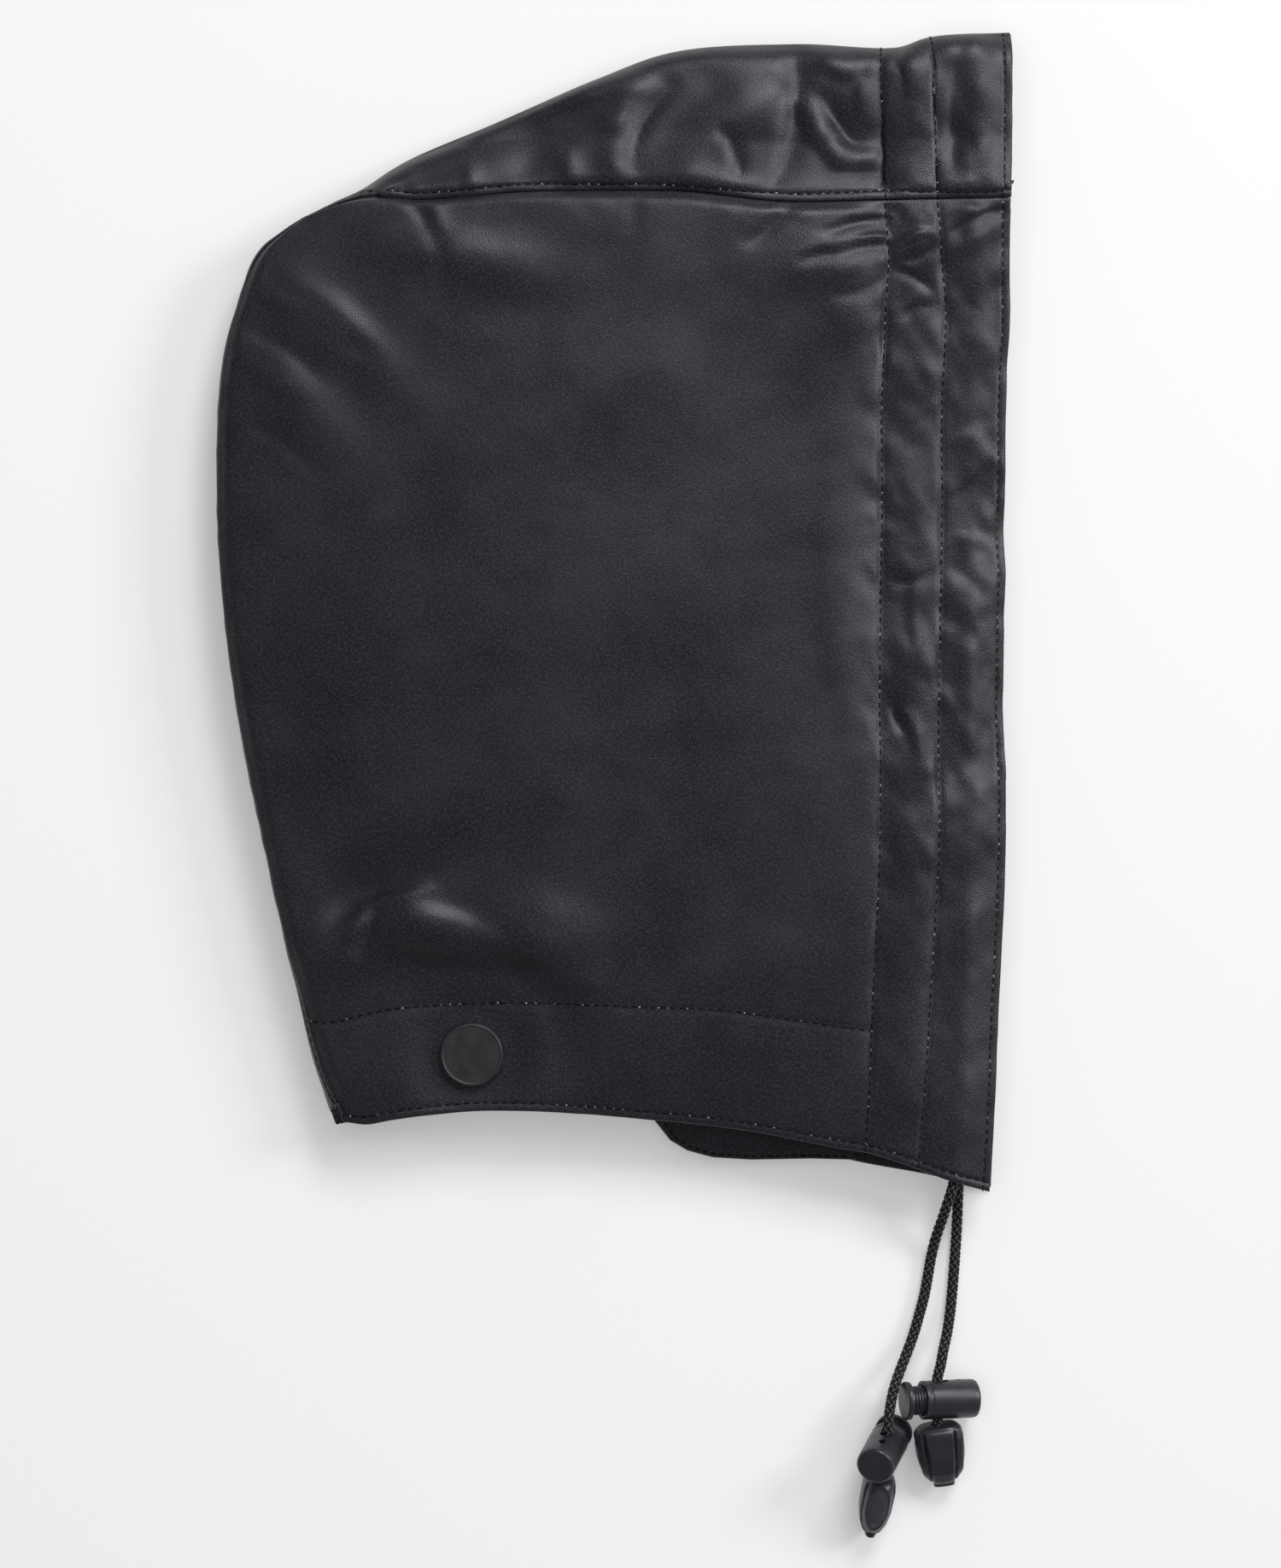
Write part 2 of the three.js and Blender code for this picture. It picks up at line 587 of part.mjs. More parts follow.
// A closed solid between two grids of the same size
function sheetSolid(outer, inner) {
  const columns = outer.length;
  const rows = outer[0].length;
  const positions = [];
  for (const grid of [outer, inner]) {
    grid.forEach((line) => line.forEach((point) => positions.push(point.x, point.y, point.z)));
  }
  const index = (layer, i, j) => (layer * columns + i) * rows + j;
  const faces = [];
  const quad = (a, b, c, d) => faces.push(a, b, c, a, c, d);
  for (let i = 0; i < columns - 1; i++) {
    for (let j = 0; j < rows - 1; j++) {
      quad(index(0, i, j), index(0, i + 1, j), index(0, i + 1, j + 1), index(0, i, j + 1));
      const [a, b] = [index(1, i, j), index(1, i + 1, j)];
      const [c, d] = [index(1, i + 1, j + 1), index(1, i, j + 1)];
      faces.push(a, c, b, a, d, c);
    }
  }
  for (let i = 0; i < columns - 1; i++) {
    quad(index(0, i + 1, 0), index(0, i, 0), index(1, i, 0), index(1, i + 1, 0));
    quad(index(0, i, rows - 1), index(0, i + 1, rows - 1), index(1, i + 1, rows - 1), index(1, i, rows - 1));
  }
  for (let j = 0; j < rows - 1; j++) {
    quad(index(0, 0, j), index(0, 0, j + 1), index(1, 0, j + 1), index(1, 0, j));
    quad(index(0, columns - 1, j + 1), index(0, columns - 1, j), index(1, columns - 1, j), index(1, columns - 1, j + 1));
  }
  return outwardFaces(positions, faces);
}

function outwardFaces(positions, faces) {
  const corner = (index) => new THREE.Vector3().fromArray(positions, 3 * index);
  let volume = 0;
  for (let i = 0; i < faces.length; i += 3) {
    volume += corner(faces[i]).dot(corner(faces[i + 1]).cross(corner(faces[i + 2])));
  }
  if (volume < 0) {
    for (let i = 0; i < faces.length; i += 3) {
      [faces[i], faces[i + 1]] = [faces[i + 1], faces[i]];
    }
  }
  const geometry = new THREE.BufferGeometry();
  geometry.setAttribute("position", new THREE.Float32BufferAttribute(positions, 3));
  geometry.setIndex(faces);
  geometry.computeVertexNormals();
  return geometry;
}

// Cuts

function toSolid(geometry) {
  const bare = geometry.clone();
  bare.deleteAttribute("normal");
  bare.deleteAttribute("uv");
  const merged = mergeVertices(bare, 1e-4);
  return new wasm.Manifold(
    new wasm.Mesh({
      numProp: 3,
      vertProperties: new Float32Array(merged.attributes.position.array),
      triVerts: new Uint32Array(merged.index.array),
    }),
  );
}

function cut(geometry, tools) {
  let solid = toSolid(geometry);
  for (const tool of tools) {
    solid = solid.subtract(toSolid(tool));
  }
  const mesh = solid.getMesh();
  const result = new THREE.BufferGeometry();
  result.setAttribute("position", new THREE.Float32BufferAttribute(mesh.vertProperties, 3));
  result.setIndex(Array.from(mesh.triVerts));
  result.computeVertexNormals();
  return result;
}

// Press studs: the cap and post outside, and the socket that the post is riveted to inside

const studPostHole = STUD_POST_DIAMETER + 2 * LAYER_GAP;
const studStack = CLOTH + FACING_CLOTH + 3 * LAYER_GAP; // from the cap's back to the socket's foot

function studCap() {
  const radius = STUD_CAP_DIAMETER / 2;
  const post = STUD_POST_DIAMETER / 2;
  const postEnd = studStack + STUD_SOCKET_HEIGHT - STUD_RECESS_DEPTH;
  const profile = [
    new THREE.Vector2(0, -postEnd),
    new THREE.Vector2(post, -postEnd),
    new THREE.Vector2(post, 0),
    new THREE.Vector2(radius, 0),
    new THREE.Vector2(radius, STUD_CAP_HEIGHT - STUD_CAP_BEVEL),
    new THREE.Vector2(radius - STUD_CAP_BEVEL, STUD_CAP_HEIGHT),
    new THREE.Vector2(0, STUD_CAP_HEIGHT),
  ];
  return new THREE.LatheGeometry(profile, STUD_SIDES).rotateX(Math.PI / 2);
}

function studSocket() {
  const radius = STUD_SOCKET_DIAMETER / 2;
  const bore = studPostHole / 2;
  const recess = STUD_RECESS_DIAMETER / 2;
  const recessFloor = -STUD_SOCKET_HEIGHT + STUD_RECESS_DEPTH;
  const profile = [
    new THREE.Vector2(bore, 0),
    new THREE.Vector2(radius, 0),
    new THREE.Vector2(radius, -STUD_SOCKET_HEIGHT),
    new THREE.Vector2(recess, -STUD_SOCKET_HEIGHT),
    new THREE.Vector2(recess, recessFloor),
    new THREE.Vector2(bore, recessFloor),
    new THREE.Vector2(bore, 0),
  ];
  return new THREE.LatheGeometry(profile.reverse(), STUD_SIDES).rotateX(Math.PI / 2);
}

function studHole(centre) {
  const drill = new THREE.CylinderGeometry(studPostHole / 2, studPostHole / 2, 4 * studStack, STUD_SIDES);
  return drill.rotateX(Math.PI / 2).translate(centre.x, centre.y, centre.z);
}

// outside is the height of the cloth's outer side and facing is +1 where that side looks up
function addStud(name, centre, outside, facing) {
  const turn = facing > 0 ? 0 : Math.PI;
  const cap = addPiece(hood, `stud_cap_${name}`, studCap(), studMaterial);
  cap.position.set(centre.x, centre.y, outside + facing * LAYER_GAP);
  cap.rotation.x = turn;
  const socket = addPiece(hood, `stud_socket_${name}`, studSocket(), socketMaterial);
  socket.position.set(centre.x, centre.y, outside + facing * (LAYER_GAP - studStack));
  socket.rotation.x = turn;
}

// Cords

// A curve whose steps fall on its own points, so that they are close where it bends
class PacedCurve extends THREE.CatmullRomCurve3 {
  getUtoTmapping(share) {
    return share;
  }
}

function cordGeometry(points) {
  const section = new THREE.Shape();
  const radius = CORD_DIAMETER / 2;
  for (let side = 0; side < CORD_SIDES; side++) {
    const angle = (2 * Math.PI * side) / CORD_SIDES;
    const corner = [radius * Math.cos(angle), radius * Math.sin(angle)];
    if (side === 0) {
      section.moveTo(...corner);
    } else {
      section.lineTo(...corner);
    }
  }
  section.closePath();
  const path = new PacedCurve(points);
  return new THREE.ExtrudeGeometry(section, { steps: points.length - 1, extrudePath: path, bevelEnabled: false });
}

// The cord inside its channel, up the right side, over the crown and down the left side
function channelRoute(shell) {
  const depth = CLOTH + LAYER_GAP + CORD_DIAMETER / 2 + CORD_PLAY;
  const route = [];
  const follow = (surface, column, row) => {
    const point = surface.points[column][row].clone();
    route.push(point.addScaledVector(surface.inward[column][row], depth));
  };
  for (let row = 0; row < lastRow; row++) follow(shell.upper, CORD_COLUMN, row);
  for (let step = 0; step <= FOLD_STEPS + UNDER_STEPS; step++) follow(shell.centre, CORD_COLUMN, step);
  for (let row = lastRow - 1; row >= 0; row--) follow(shell.lower, CORD_COLUMN, row);
  return route;
}

// Cord locks, along Y from the closed end, with the cord passing along Z

function slotShape(from, length) {
  const half = CORD_DIAMETER / 2 + CORD_HOLE_CLEARANCE;
  const shape = new THREE.Shape();
  shape.absarc(0, from + half, half, Math.PI, 2 * Math.PI, false);
  shape.absarc(0, from + length - half, half, 0, Math.PI, false);
  shape.closePath();
  const depth = 2 * BARREL_DIAMETER;
  const slot = new THREE.ExtrudeGeometry(shape, { depth, bevelEnabled: false, curveSegments: 6 });
  return slot.translate(0, 0, -depth / 2);
}

function lockBarrel() {
  const radius = BARREL_DIAMETER / 2;
  const bore = PLUNGER_DIAMETER / 2 + PLUNGER_CLEARANCE;
  const profile = [
    new THREE.Vector2(0, 0),
    new THREE.Vector2(radius - BARREL_EDGE, 0),
    new THREE.Vector2(radius, BARREL_EDGE),
    new THREE.Vector2(radius, BARREL_LENGTH - BARREL_EDGE),
    new THREE.Vector2(radius - BARREL_EDGE, BARREL_LENGTH),
    new THREE.Vector2(bore, BARREL_LENGTH),
    new THREE.Vector2(bore, BARREL_END_WALL),
    new THREE.Vector2(0, BARREL_END_WALL),
  ];
  const slotFrom = BARREL_LENGTH - BARREL_SLOT_START - BARREL_SLOT_LENGTH;
  return cut(new THREE.LatheGeometry(profile, LOCK_SIDES), [slotShape(slotFrom, BARREL_SLOT_LENGTH)]);
}

// The plunger's slot is longer than the barrel's by its stroke, so that it slides past the cord
function lockPlunger() {
  const shaft = PLUNGER_DIAMETER / 2;
  const head = PLUNGER_HEAD_DIAMETER / 2;
  const headFoot = BARREL_LENGTH + PLUNGER_NECK;
  const headTop = headFoot + PLUNGER_HEAD_THICKNESS;
  const edge = PLUNGER_CLEARANCE;
  const profile = [
    new THREE.Vector2(0, BARREL_LENGTH - PLUNGER_INSIDE),
    new THREE.Vector2(shaft - edge, BARREL_LENGTH - PLUNGER_INSIDE),
    new THREE.Vector2(shaft, BARREL_LENGTH - PLUNGER_INSIDE + edge),
    new THREE.Vector2(shaft, headFoot),
    new THREE.Vector2(head, headFoot),
    new THREE.Vector2(head, headTop - edge),
    new THREE.Vector2(head - edge, headTop),
    new THREE.Vector2(0, headTop),
  ];
  const cordHole = CORD_DIAMETER + 2 * CORD_HOLE_CLEARANCE;
  const slotLength = cordHole + PLUNGER_STROKE;
  const slotFrom = BARREL_LENGTH - BARREL_SLOT_START - cordHole;
  return cut(new THREE.LatheGeometry(profile, LOCK_SIDES), [slotShape(slotFrom, slotLength)]);
}

// Turns a piece so that its Y lies along the axis and its Z as near as can be along the cord
function aim(mesh, axis, cordDirection, centre, alongAxis) {
  const up = axis.clone().normalize();
  const side = up.clone().cross(cordDirection).normalize();
  const through = side.clone().cross(up).normalize();
  mesh.quaternion.setFromRotationMatrix(new THREE.Matrix4().makeBasis(side, up, through));
  mesh.position.copy(centre).addScaledVector(up, -alongAxis);
}

function addLock(name, route, lock) {
  const centre = route[lock.row];
  const direction = route[lock.row + 1].clone().sub(route[lock.row - 1]).normalize();
  const axis = new THREE.Vector3(...lock.axis);
  const cordHeight = BARREL_LENGTH - BARREL_SLOT_START - CORD_DIAMETER / 2 - CORD_HOLE_CLEARANCE;
  const barrel = addPiece(cordPieces, `lock_barrel_${name}`, lockBarrel(), plasticMaterial);
  const plunger = addPiece(cordPieces, `lock_plunger_${name}`, lockPlunger(), plasticMaterial);
  aim(barrel, axis, direction, centre, cordHeight);
  aim(plunger, axis, direction, centre, cordHeight);
}

// Cord end piece: a shield with a raised band down each face, the cord entering at its top, Y = 0

function cordEndOutline() {
  const half = CORD_END_WIDTH / 2;
  const tip = CORD_END_BAND_TIP_WIDTH / 2;
  const shape = new THREE.Shape();
  shape.moveTo(-0.62 * half, 0);
  shape.lineTo(0.62 * half, 0);
  shape.quadraticCurveTo(half, -0.06 * CORD_END_LENGTH, half, -0.3 * CORD_END_LENGTH);
  shape.quadraticCurveTo(0.92 * half, -0.72 * CORD_END_LENGTH, tip, -0.93 * CORD_END_LENGTH);
  shape.lineTo(0.85 * tip, -CORD_END_LENGTH);
  shape.lineTo(-0.85 * tip, -CORD_END_LENGTH);
  shape.lineTo(-tip, -0.93 * CORD_END_LENGTH);
  shape.quadraticCurveTo(-0.92 * half, -0.72 * CORD_END_LENGTH, -half, -0.3 * CORD_END_LENGTH);
  shape.quadraticCurveTo(-half, -0.06 * CORD_END_LENGTH, -0.62 * half, 0);
  return shape;
}

function cordEndGroove(sideSign, faceSign) {
  const top = (sideSign * CORD_END_BAND_WIDTH) / 2;
  const foot = (sideSign * CORD_END_BAND_TIP_WIDTH) / 2;
  const width = sideSign * CORD_END_GROOVE_WIDTH;
  const shape = new THREE.Shape();
  shape.moveTo(top, CORD_END_BEVEL);
  shape.lineTo(top + width, CORD_END_BEVEL);
  shape.lineTo(foot + width, -1.1 * CORD_END_LENGTH);
  shape.lineTo(foot, -1.1 * CORD_END_LENGTH);
  const groove = new THREE.ExtrudeGeometry(shape, { depth: CORD_END_THICKNESS, bevelEnabled: false });
  const face = CORD_END_THICKNESS / 2 - CORD_END_GROOVE_DEPTH;
  return groove.translate(0, 0, faceSign > 0 ? face : -face - CORD_END_THICKNESS);
}

function cordEnd() {
  const depth = CORD_END_THICKNESS - 2 * CORD_END_BEVEL;
  const body = new THREE.ExtrudeGeometry(cordEndOutline(), {
    depth,
    curveSegments: 4,
    bevelEnabled: true,
    bevelThickness: CORD_END_BEVEL,
    bevelSize: CORD_END_BEVEL,
    bevelOffset: -CORD_END_BEVEL,
    bevelSegments: 1,
  });
  body.translate(0, 0, -depth / 2);
  const radius = CORD_DIAMETER / 2 + CORD_HOLE_CLEARANCE;
  const hole = new THREE.CylinderGeometry(radius, radius, 2 * CORD_END_HOLE_DEPTH, 12);
  const grooves = [];
  for (const side of [-1, 1]) {
    for (const face of [-1, 1]) {
      grooves.push(cordEndGroove(side, face));
    }
  }
  return cut(body, [hole, ...grooves]);
}

// The end piece is threaded on the last straight stretch of its cord, flat or on its edge
function addCordEnd(name, route, faceDirection) {
  const last = route[route.length - 1];
  const direction = last.clone().sub(route[route.length - 3]).normalize();
  const piece = addPiece(cordPieces, `cord_end_${name}`, cordEnd(), plasticMaterial);
  const up = direction.clone().negate();
  const side = up.clone().cross(faceDirection).normalize();
  const face = side.clone().cross(up).normalize();
  piece.quaternion.setFromRotationMatrix(new THREE.Matrix4().makeBasis(side, up, face));
  piece.position.copy(last).addScaledVector(direction, LAYER_GAP - CORD_END_HOLE_DEPTH);
}

// The hood

const shell = buildShell();
const noStandOff = () => 0;
const channelStandOff = (column) => CHANNEL_ROOM * (FACE_STAND_OFF[column] ?? 0);
const wholePanel = { columns: [0, lastColumn], rows: [0, lastRow] };
const wholeCentre = { columns: [0, seamPlaces.length - 1], rows: [0, FOLD_STEPS + UNDER_STEPS] };
const shellDepths = [0, CLOTH];
const facingDepths = [CLOTH + LAYER_GAP, CLOTH + LAYER_GAP + FACING_CLOTH];
const panelSetback = { last: SEAM_SETBACK, top: SEAM_SETBACK };
const centreSetback = { bottom: SEAM_SETBACK, top: SEAM_SETBACK };

const rightPanel = sheetPiece(shell.upper, wholePanel, shellDepths, panelSetback, noStandOff);
addPiece(hood, "side_panel_right", cut(rightPanel, [studHole(studRight)]), clothMaterial);
const leftPanel = sheetPiece(shell.lower, wholePanel, shellDepths, panelSetback, noStandOff);
addPiece(hood, "side_panel_left", cut(leftPanel, [studHole(studLeft)]), clothMaterial);
const centrePanel = sheetPiece(shell.centre, wholeCentre, shellDepths, centreSetback, noStandOff);
addPiece(hood, "centre_panel", cut(centrePanel, [studHole(studBack)]), clothMaterial);

const faceColumns = FACE_COLUMNS.length - 1;
const faceRange = { columns: [0, faceColumns], rows: [0, lastRow] };
const faceSetback = { top: FACING_SETBACK };
const rightFacing = sheetPiece(shell.upper, faceRange, facingDepths, faceSetback, channelStandOff);
addPiece(hood, "face_facing_right", rightFacing, facingMaterial);
const leftFacing = sheetPiece(shell.lower, faceRange, facingDepths, faceSetback, channelStandOff);
addPiece(hood, "face_facing_left", leftFacing, facingMaterial);
const crownRange = { columns: [0, faceColumns], rows: wholeCentre.rows };
const crownSetback = { bottom: FACING_SETBACK, top: FACING_SETBACK };
const crownFacing = sheetPiece(shell.centre, crownRange, facingDepths, crownSetback, channelStandOff);
addPiece(hood, "face_facing_crown", crownFacing, facingMaterial);

const neckRows = NECK_ROWS.length - 1;
const neckRange = { columns: [faceColumns, lastColumn], rows: [0, neckRows] };
const neckSetback = { first: FACING_SETBACK, last: FACING_SETBACK };
const rightNeck = sheetPiece(shell.upper, neckRange, facingDepths, neckSetback, noStandOff);
addPiece(hood, "neck_facing_right", cut(rightNeck, [studHole(studRight)]), facingMaterial);
const leftNeck = sheetPiece(shell.lower, neckRange, facingDepths, neckSetback, noStandOff);
addPiece(hood, "neck_facing_left", cut(leftNeck, [studHole(studLeft)]), facingMaterial);
const backRange = { columns: [seamPlaces.length - 1 - neckRows, seamPlaces.length - 1], rows: wholeCentre.rows };
const backNeck = sheetPiece(shell.centre, backRange, facingDepths, crownSetback, noStandOff);
addPiece(hood, "neck_facing_back", cut(backNeck, [studHole(studBack)]), facingMaterial);

function chinFlap() {
  const outline = CHIN_FLAP_OUTLINE.map((row) => place(row.x, row.y, 0));
  const shape = new THREE.Shape(outline.map((point) => new THREE.Vector2(point.x, point.y)));
  const flap = new THREE.ExtrudeGeometry(shape, { depth: FLAP_CLOTH, bevelEnabled: false });
  return flap.translate(0, 0, UNDERSIDE_LIFT + CLOTH + FACING_CLOTH + 2 * LAYER_GAP);
}

addPiece(hood, "chin_flap", chinFlap(), clothMaterial);

addStud("right", studRight, studRight.z, 1);
addStud("left", studLeft, UNDERSIDE_LIFT, -1);
addStud("back", studBack, UNDERSIDE_LIFT, -1);

addPiece(hood, "drawcord_run", cordGeometry(channelRoute(shell)), cordMaterial);

const routeA = CORD_A_ROUTE.map((point) => new THREE.Vector3(...point));
const routeB = CORD_B_ROUTE.map((point) => new THREE.Vector3(...point));
addPiece(cordPieces, "cord_a", cordGeometry(routeA), cordMaterial);
addPiece(cordPieces, "cord_b", cordGeometry(routeB), cordMaterial);
addLock("a", routeA, LOCK_A);
addLock("b", routeB, LOCK_B);
addCordEnd("a", routeA, new THREE.Vector3(1, 0, 0));
addCordEnd("b", routeB, new THREE.Vector3(0, 0, 1));

const group = new THREE.Group();
group.add(hood, cordPieces);
group.updateMatrixWorld(true);
const box = new THREE.Box3().setFromObject(hood, true);
group.position.set(-(box.min.x + box.max.x) / 2, -(box.min.y + box.max.y) / 2, -box.min.z);

export default group;
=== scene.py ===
"""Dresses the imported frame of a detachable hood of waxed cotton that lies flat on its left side.

Lengths are millimetres on the laid hood, with X from the back of the head to the face opening, Y from
the neck to the crown and Z up, and they turn into metres where a mesh is made.
"""
import logging
import math
from dataclasses import dataclass, field
from enum import Enum
from typing import Callable, Sequence

import bpy
import numpy as np
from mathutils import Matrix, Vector


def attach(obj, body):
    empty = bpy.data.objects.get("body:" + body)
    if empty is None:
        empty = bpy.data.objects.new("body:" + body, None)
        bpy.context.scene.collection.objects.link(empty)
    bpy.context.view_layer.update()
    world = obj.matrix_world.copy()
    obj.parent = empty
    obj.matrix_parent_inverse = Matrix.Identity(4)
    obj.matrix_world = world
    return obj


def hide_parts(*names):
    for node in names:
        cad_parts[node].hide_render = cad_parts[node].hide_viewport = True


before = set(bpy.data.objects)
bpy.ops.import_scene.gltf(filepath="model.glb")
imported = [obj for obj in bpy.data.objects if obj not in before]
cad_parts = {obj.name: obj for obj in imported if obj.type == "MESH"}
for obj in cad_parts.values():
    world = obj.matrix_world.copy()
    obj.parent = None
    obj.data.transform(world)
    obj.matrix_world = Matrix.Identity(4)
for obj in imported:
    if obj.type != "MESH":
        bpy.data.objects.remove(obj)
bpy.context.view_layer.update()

log = logging.getLogger("hood")

Array = np.ndarray
Piece = bpy.types.Object
Socket = bpy.types.NodeSocket
Tree = bpy.types.NodeTree
METRE = 0.001
HOOD_BODY = "hood"
SHARP_STUD, SHARP_LOCK, SHARP_END = 38, 32, 40  # degrees above which an edge stays crisp
CENTRING = np.array([0.0267, 0.0, 0.0])  # from the lines below to the frame's own middle
LATTICE = 64  # random heights each way in a noise pattern, which then repeats
FAR = 300.0  # moves a noise pattern's own zero out of the hood


# Lines and fields


def spline(points: Array, places: Array) -> Array:
    """Follows a centripetal spline.

    Args:
        points: the points that it goes through, one a row.
        places: where to read it, counted in points from the first.

    Returns:
        One point for each place.
    """
    last = len(points) - 1
    row = np.clip(np.floor(places).astype(int), 0, last - 1)
    share = (places - row)[..., None]
    ends = np.vstack([2 * points[0] - points[1], points, 2 * points[-1] - points[-2]])
    p0, p1, p2, p3 = (ends[row + step] for step in range(4))
    d0, d1, d2 = (((b - a) ** 2).sum(-1, keepdims=True) ** 0.25 for a, b in ((p0, p1), (p1, p2), (p2, p3)))
    t1 = ((p1 - p0) / d0 - (p2 - p0) / (d0 + d1) + (p2 - p1) / d1) * d1
    t2 = ((p2 - p1) / d1 - (p3 - p1) / (d1 + d2) + (p3 - p2) / d2) * d1
    square = 3 * (p2 - p1) - 2 * t1 - t2
    cube = 2 * (p1 - p2) + t1 + t2
    return p1 + share * (t1 + share * (square + share * cube))


def unit(vectors: Array) -> Array:
    """Scales each vector to a length of one."""
    return vectors / np.maximum(np.linalg.norm(vectors, axis=-1, keepdims=True), 1e-9)


def lerp(first: Array, second: Array, share: Array) -> Array:
    """Blends two values."""
    return first + (second - first) * share


def fade(distance: Array, full: float, none: float) -> Array:
    """Falls smoothly from one at full to nothing at none."""
    share = np.clip((distance - full) / (none - full), 0, 1)
    return 1 - share * share * (3 - 2 * share)


def bump(distance: Array, width: float) -> Array:
    """Rises to one at no distance and is all but gone at twice the width."""
    return np.exp(-((distance / width) ** 2))


def noise(x: Array, y: Array, cell: float, seed: int, up: float = FAR) -> Array:
    """Reads smooth random hills.

    Args:
        x: places across.
        y: places up, of the same shape.
        cell: distance between two hills, in the unit of x and y.
        seed: number of the pattern.
        up: how far the pattern's zero is moved up.

    Returns:
        Heights between about -1 and 1.
    """
    lattice = np.random.default_rng(seed).uniform(-1, 1, (LATTICE, LATTICE))
    column, row = (x + FAR) / cell, (y + up) / cell
    i, j = np.floor(column).astype(int), np.floor(row).astype(int)
    a, b = column - i, row - j
    a, b = a * a * (3 - 2 * a), b * b * (3 - 2 * b)
    low, high = (
        lerp(lattice[i % LATTICE, line % LATTICE], lattice[(i + 1) % LATTICE, line % LATTICE], a)
        for line in (j, j + 1)
    )
    return lerp(low, high, b)


class Line:
    """A smooth line through points that can also be read by its own length."""

    def __init__(self, points: Sequence) -> None:
        """Measures the line.

        Args:
            points: the points that it goes through.
        """
        self.points = np.asarray(points, float)
        self.places = np.linspace(0, len(self.points) - 1, 3001)
        track = spline(self.points, self.places)
        steps = np.linalg.norm(np.diff(track, axis=0), axis=1)
        self.reach = np.concatenate([[0], np.cumsum(steps)])
        self.length = float(self.reach[-1])

    def place_at(self, length: Array) -> Array:
        """Finds the place that lies a length along the line."""
        return np.interp(length, self.reach, self.places)

    def at(self, places: Array) -> Array:
        """Reads the line at places counted in points."""
        return spline(self.points, np.asarray(places, float))

    def at_length(self, length: Array) -> Array:
        """Reads the line at lengths from its start."""
        return self.at(self.place_at(length))


@dataclass(frozen=True)
class Fold:
    """A ridge in the cloth, or a crease where its rise is below nothing, with one side steeper."""

    x0: float
    y0: float
    x1: float
    y1: float
    width: float
    rise: float
    bend: float = 0.08
    steep: float = 1.35
    shallow: float = 0.75

    def height(self, x: Array, y: Array) -> Array:
        """Raises the cloth along the fold.

        Args:
            x: places across.
            y: places up.

        Returns:
            The fold's height at each place.
        """
        run = math.hypot(self.x1 - self.x0, self.y1 - self.y0)
        ax, ay = (self.x1 - self.x0) / run, (self.y1 - self.y0) / run
        along = (x - self.x0) * ax + (y - self.y0) * ay
        across = (y - self.y0) * ax - (x - self.x0) * ay
        share = np.clip((along + self.width) / (run + 2 * self.width), 0, 1)
        arch = np.sin(math.pi * share)
        side = 1 if int(self.x0 + self.y1) % 2 else -1
        across = across - self.bend * run * side * (arch - 0.6)
        across = across * np.where(across > 0, self.shallow, self.steep)
        return self.rise * bump(across, self.width) * arch ** 0.8


# The cloth's form


@dataclass(frozen=True)
class Station:
    """One place along the seam between side and centre panel, in shares of the hood's sizes."""

    fold_x: float
    fold_y: float
    near_x: float
    near_y: float
    far_x: float
    far_y: float
    lift: float
    top: float
    turn: float


STATIONS = tuple(Station(*row) for row in (
    (0.999, 1.0, 0.996, 0.858, 1.0, 0.857, 0.6, 0.64, 0.3),
    (0.901, 0.996, 0.91, 0.856, 0.911, 0.855, 0.65, 0.66, 0.3),
    (0.859, 0.987, 0.858, 0.855, 0.859, 0.853, 0.67, 0.66, 0.29),
    (0.727, 0.99, 0.71, 0.852, 0.711, 0.85, 0.7, 0.65, 0.25),
    (0.575, 0.984, 0.593, 0.86, 0.604, 0.848, 0.71, 0.63, 0.22),
    (0.482, 0.962, 0.521, 0.861, 0.534, 0.84, 0.7, 0.61, 0.2),
    (0.354, 0.925, 0.389, 0.86, 0.432, 0.823, 0.67, 0.6, 0.2),
    (0.238, 0.891, 0.262, 0.854, 0.34, 0.801, 0.63, 0.58, 0.18),
    (0.179, 0.865, 0.193, 0.857, 0.287, 0.782, 0.6, 0.58, 0.17),
    (0.117, 0.84, 0.12, 0.838, 0.244, 0.762, 0.58, 0.58, 0.16),
    (0.056, 0.813, 0.059, 0.811, 0.208, 0.738, 0.58, 0.58, 0.16),
    (0.027, 0.769, 0.03, 0.768, 0.185, 0.705, 0.59, 0.59, 0.16),
    (0.006, 0.712, 0.01, 0.711, 0.171, 0.664, 0.6, 0.6, 0.16),
    (0.0, 0.601, 0.003, 0.601, 0.163, 0.579, 0.61, 0.61, 0.16),
    (0.01, 0.49, 0.013, 0.49, 0.161, 0.479, 0.61, 0.61, 0.16),
    (0.034, 0.38, 0.038, 0.38, 0.169, 0.374, 0.6, 0.6, 0.16),
    (0.063, 0.284, 0.067, 0.284, 0.185, 0.284, 0.59, 0.59, 0.16),
    (0.087, 0.21, 0.091, 0.21, 0.203, 0.21, 0.58, 0.58, 0.16),
    (0.105, 0.158, 0.114, 0.16, 0.218, 0.162, 0.57, 0.57, 0.16),
    (0.118, 0.117, 0.132, 0.114, 0.231, 0.114, 0.57, 0.57, 0.16),
    (0.141, 0.068, 0.161, 0.06, 0.244, 0.064, 0.56, 0.56, 0.16),
))
CROWN_BACK_STATION = 9

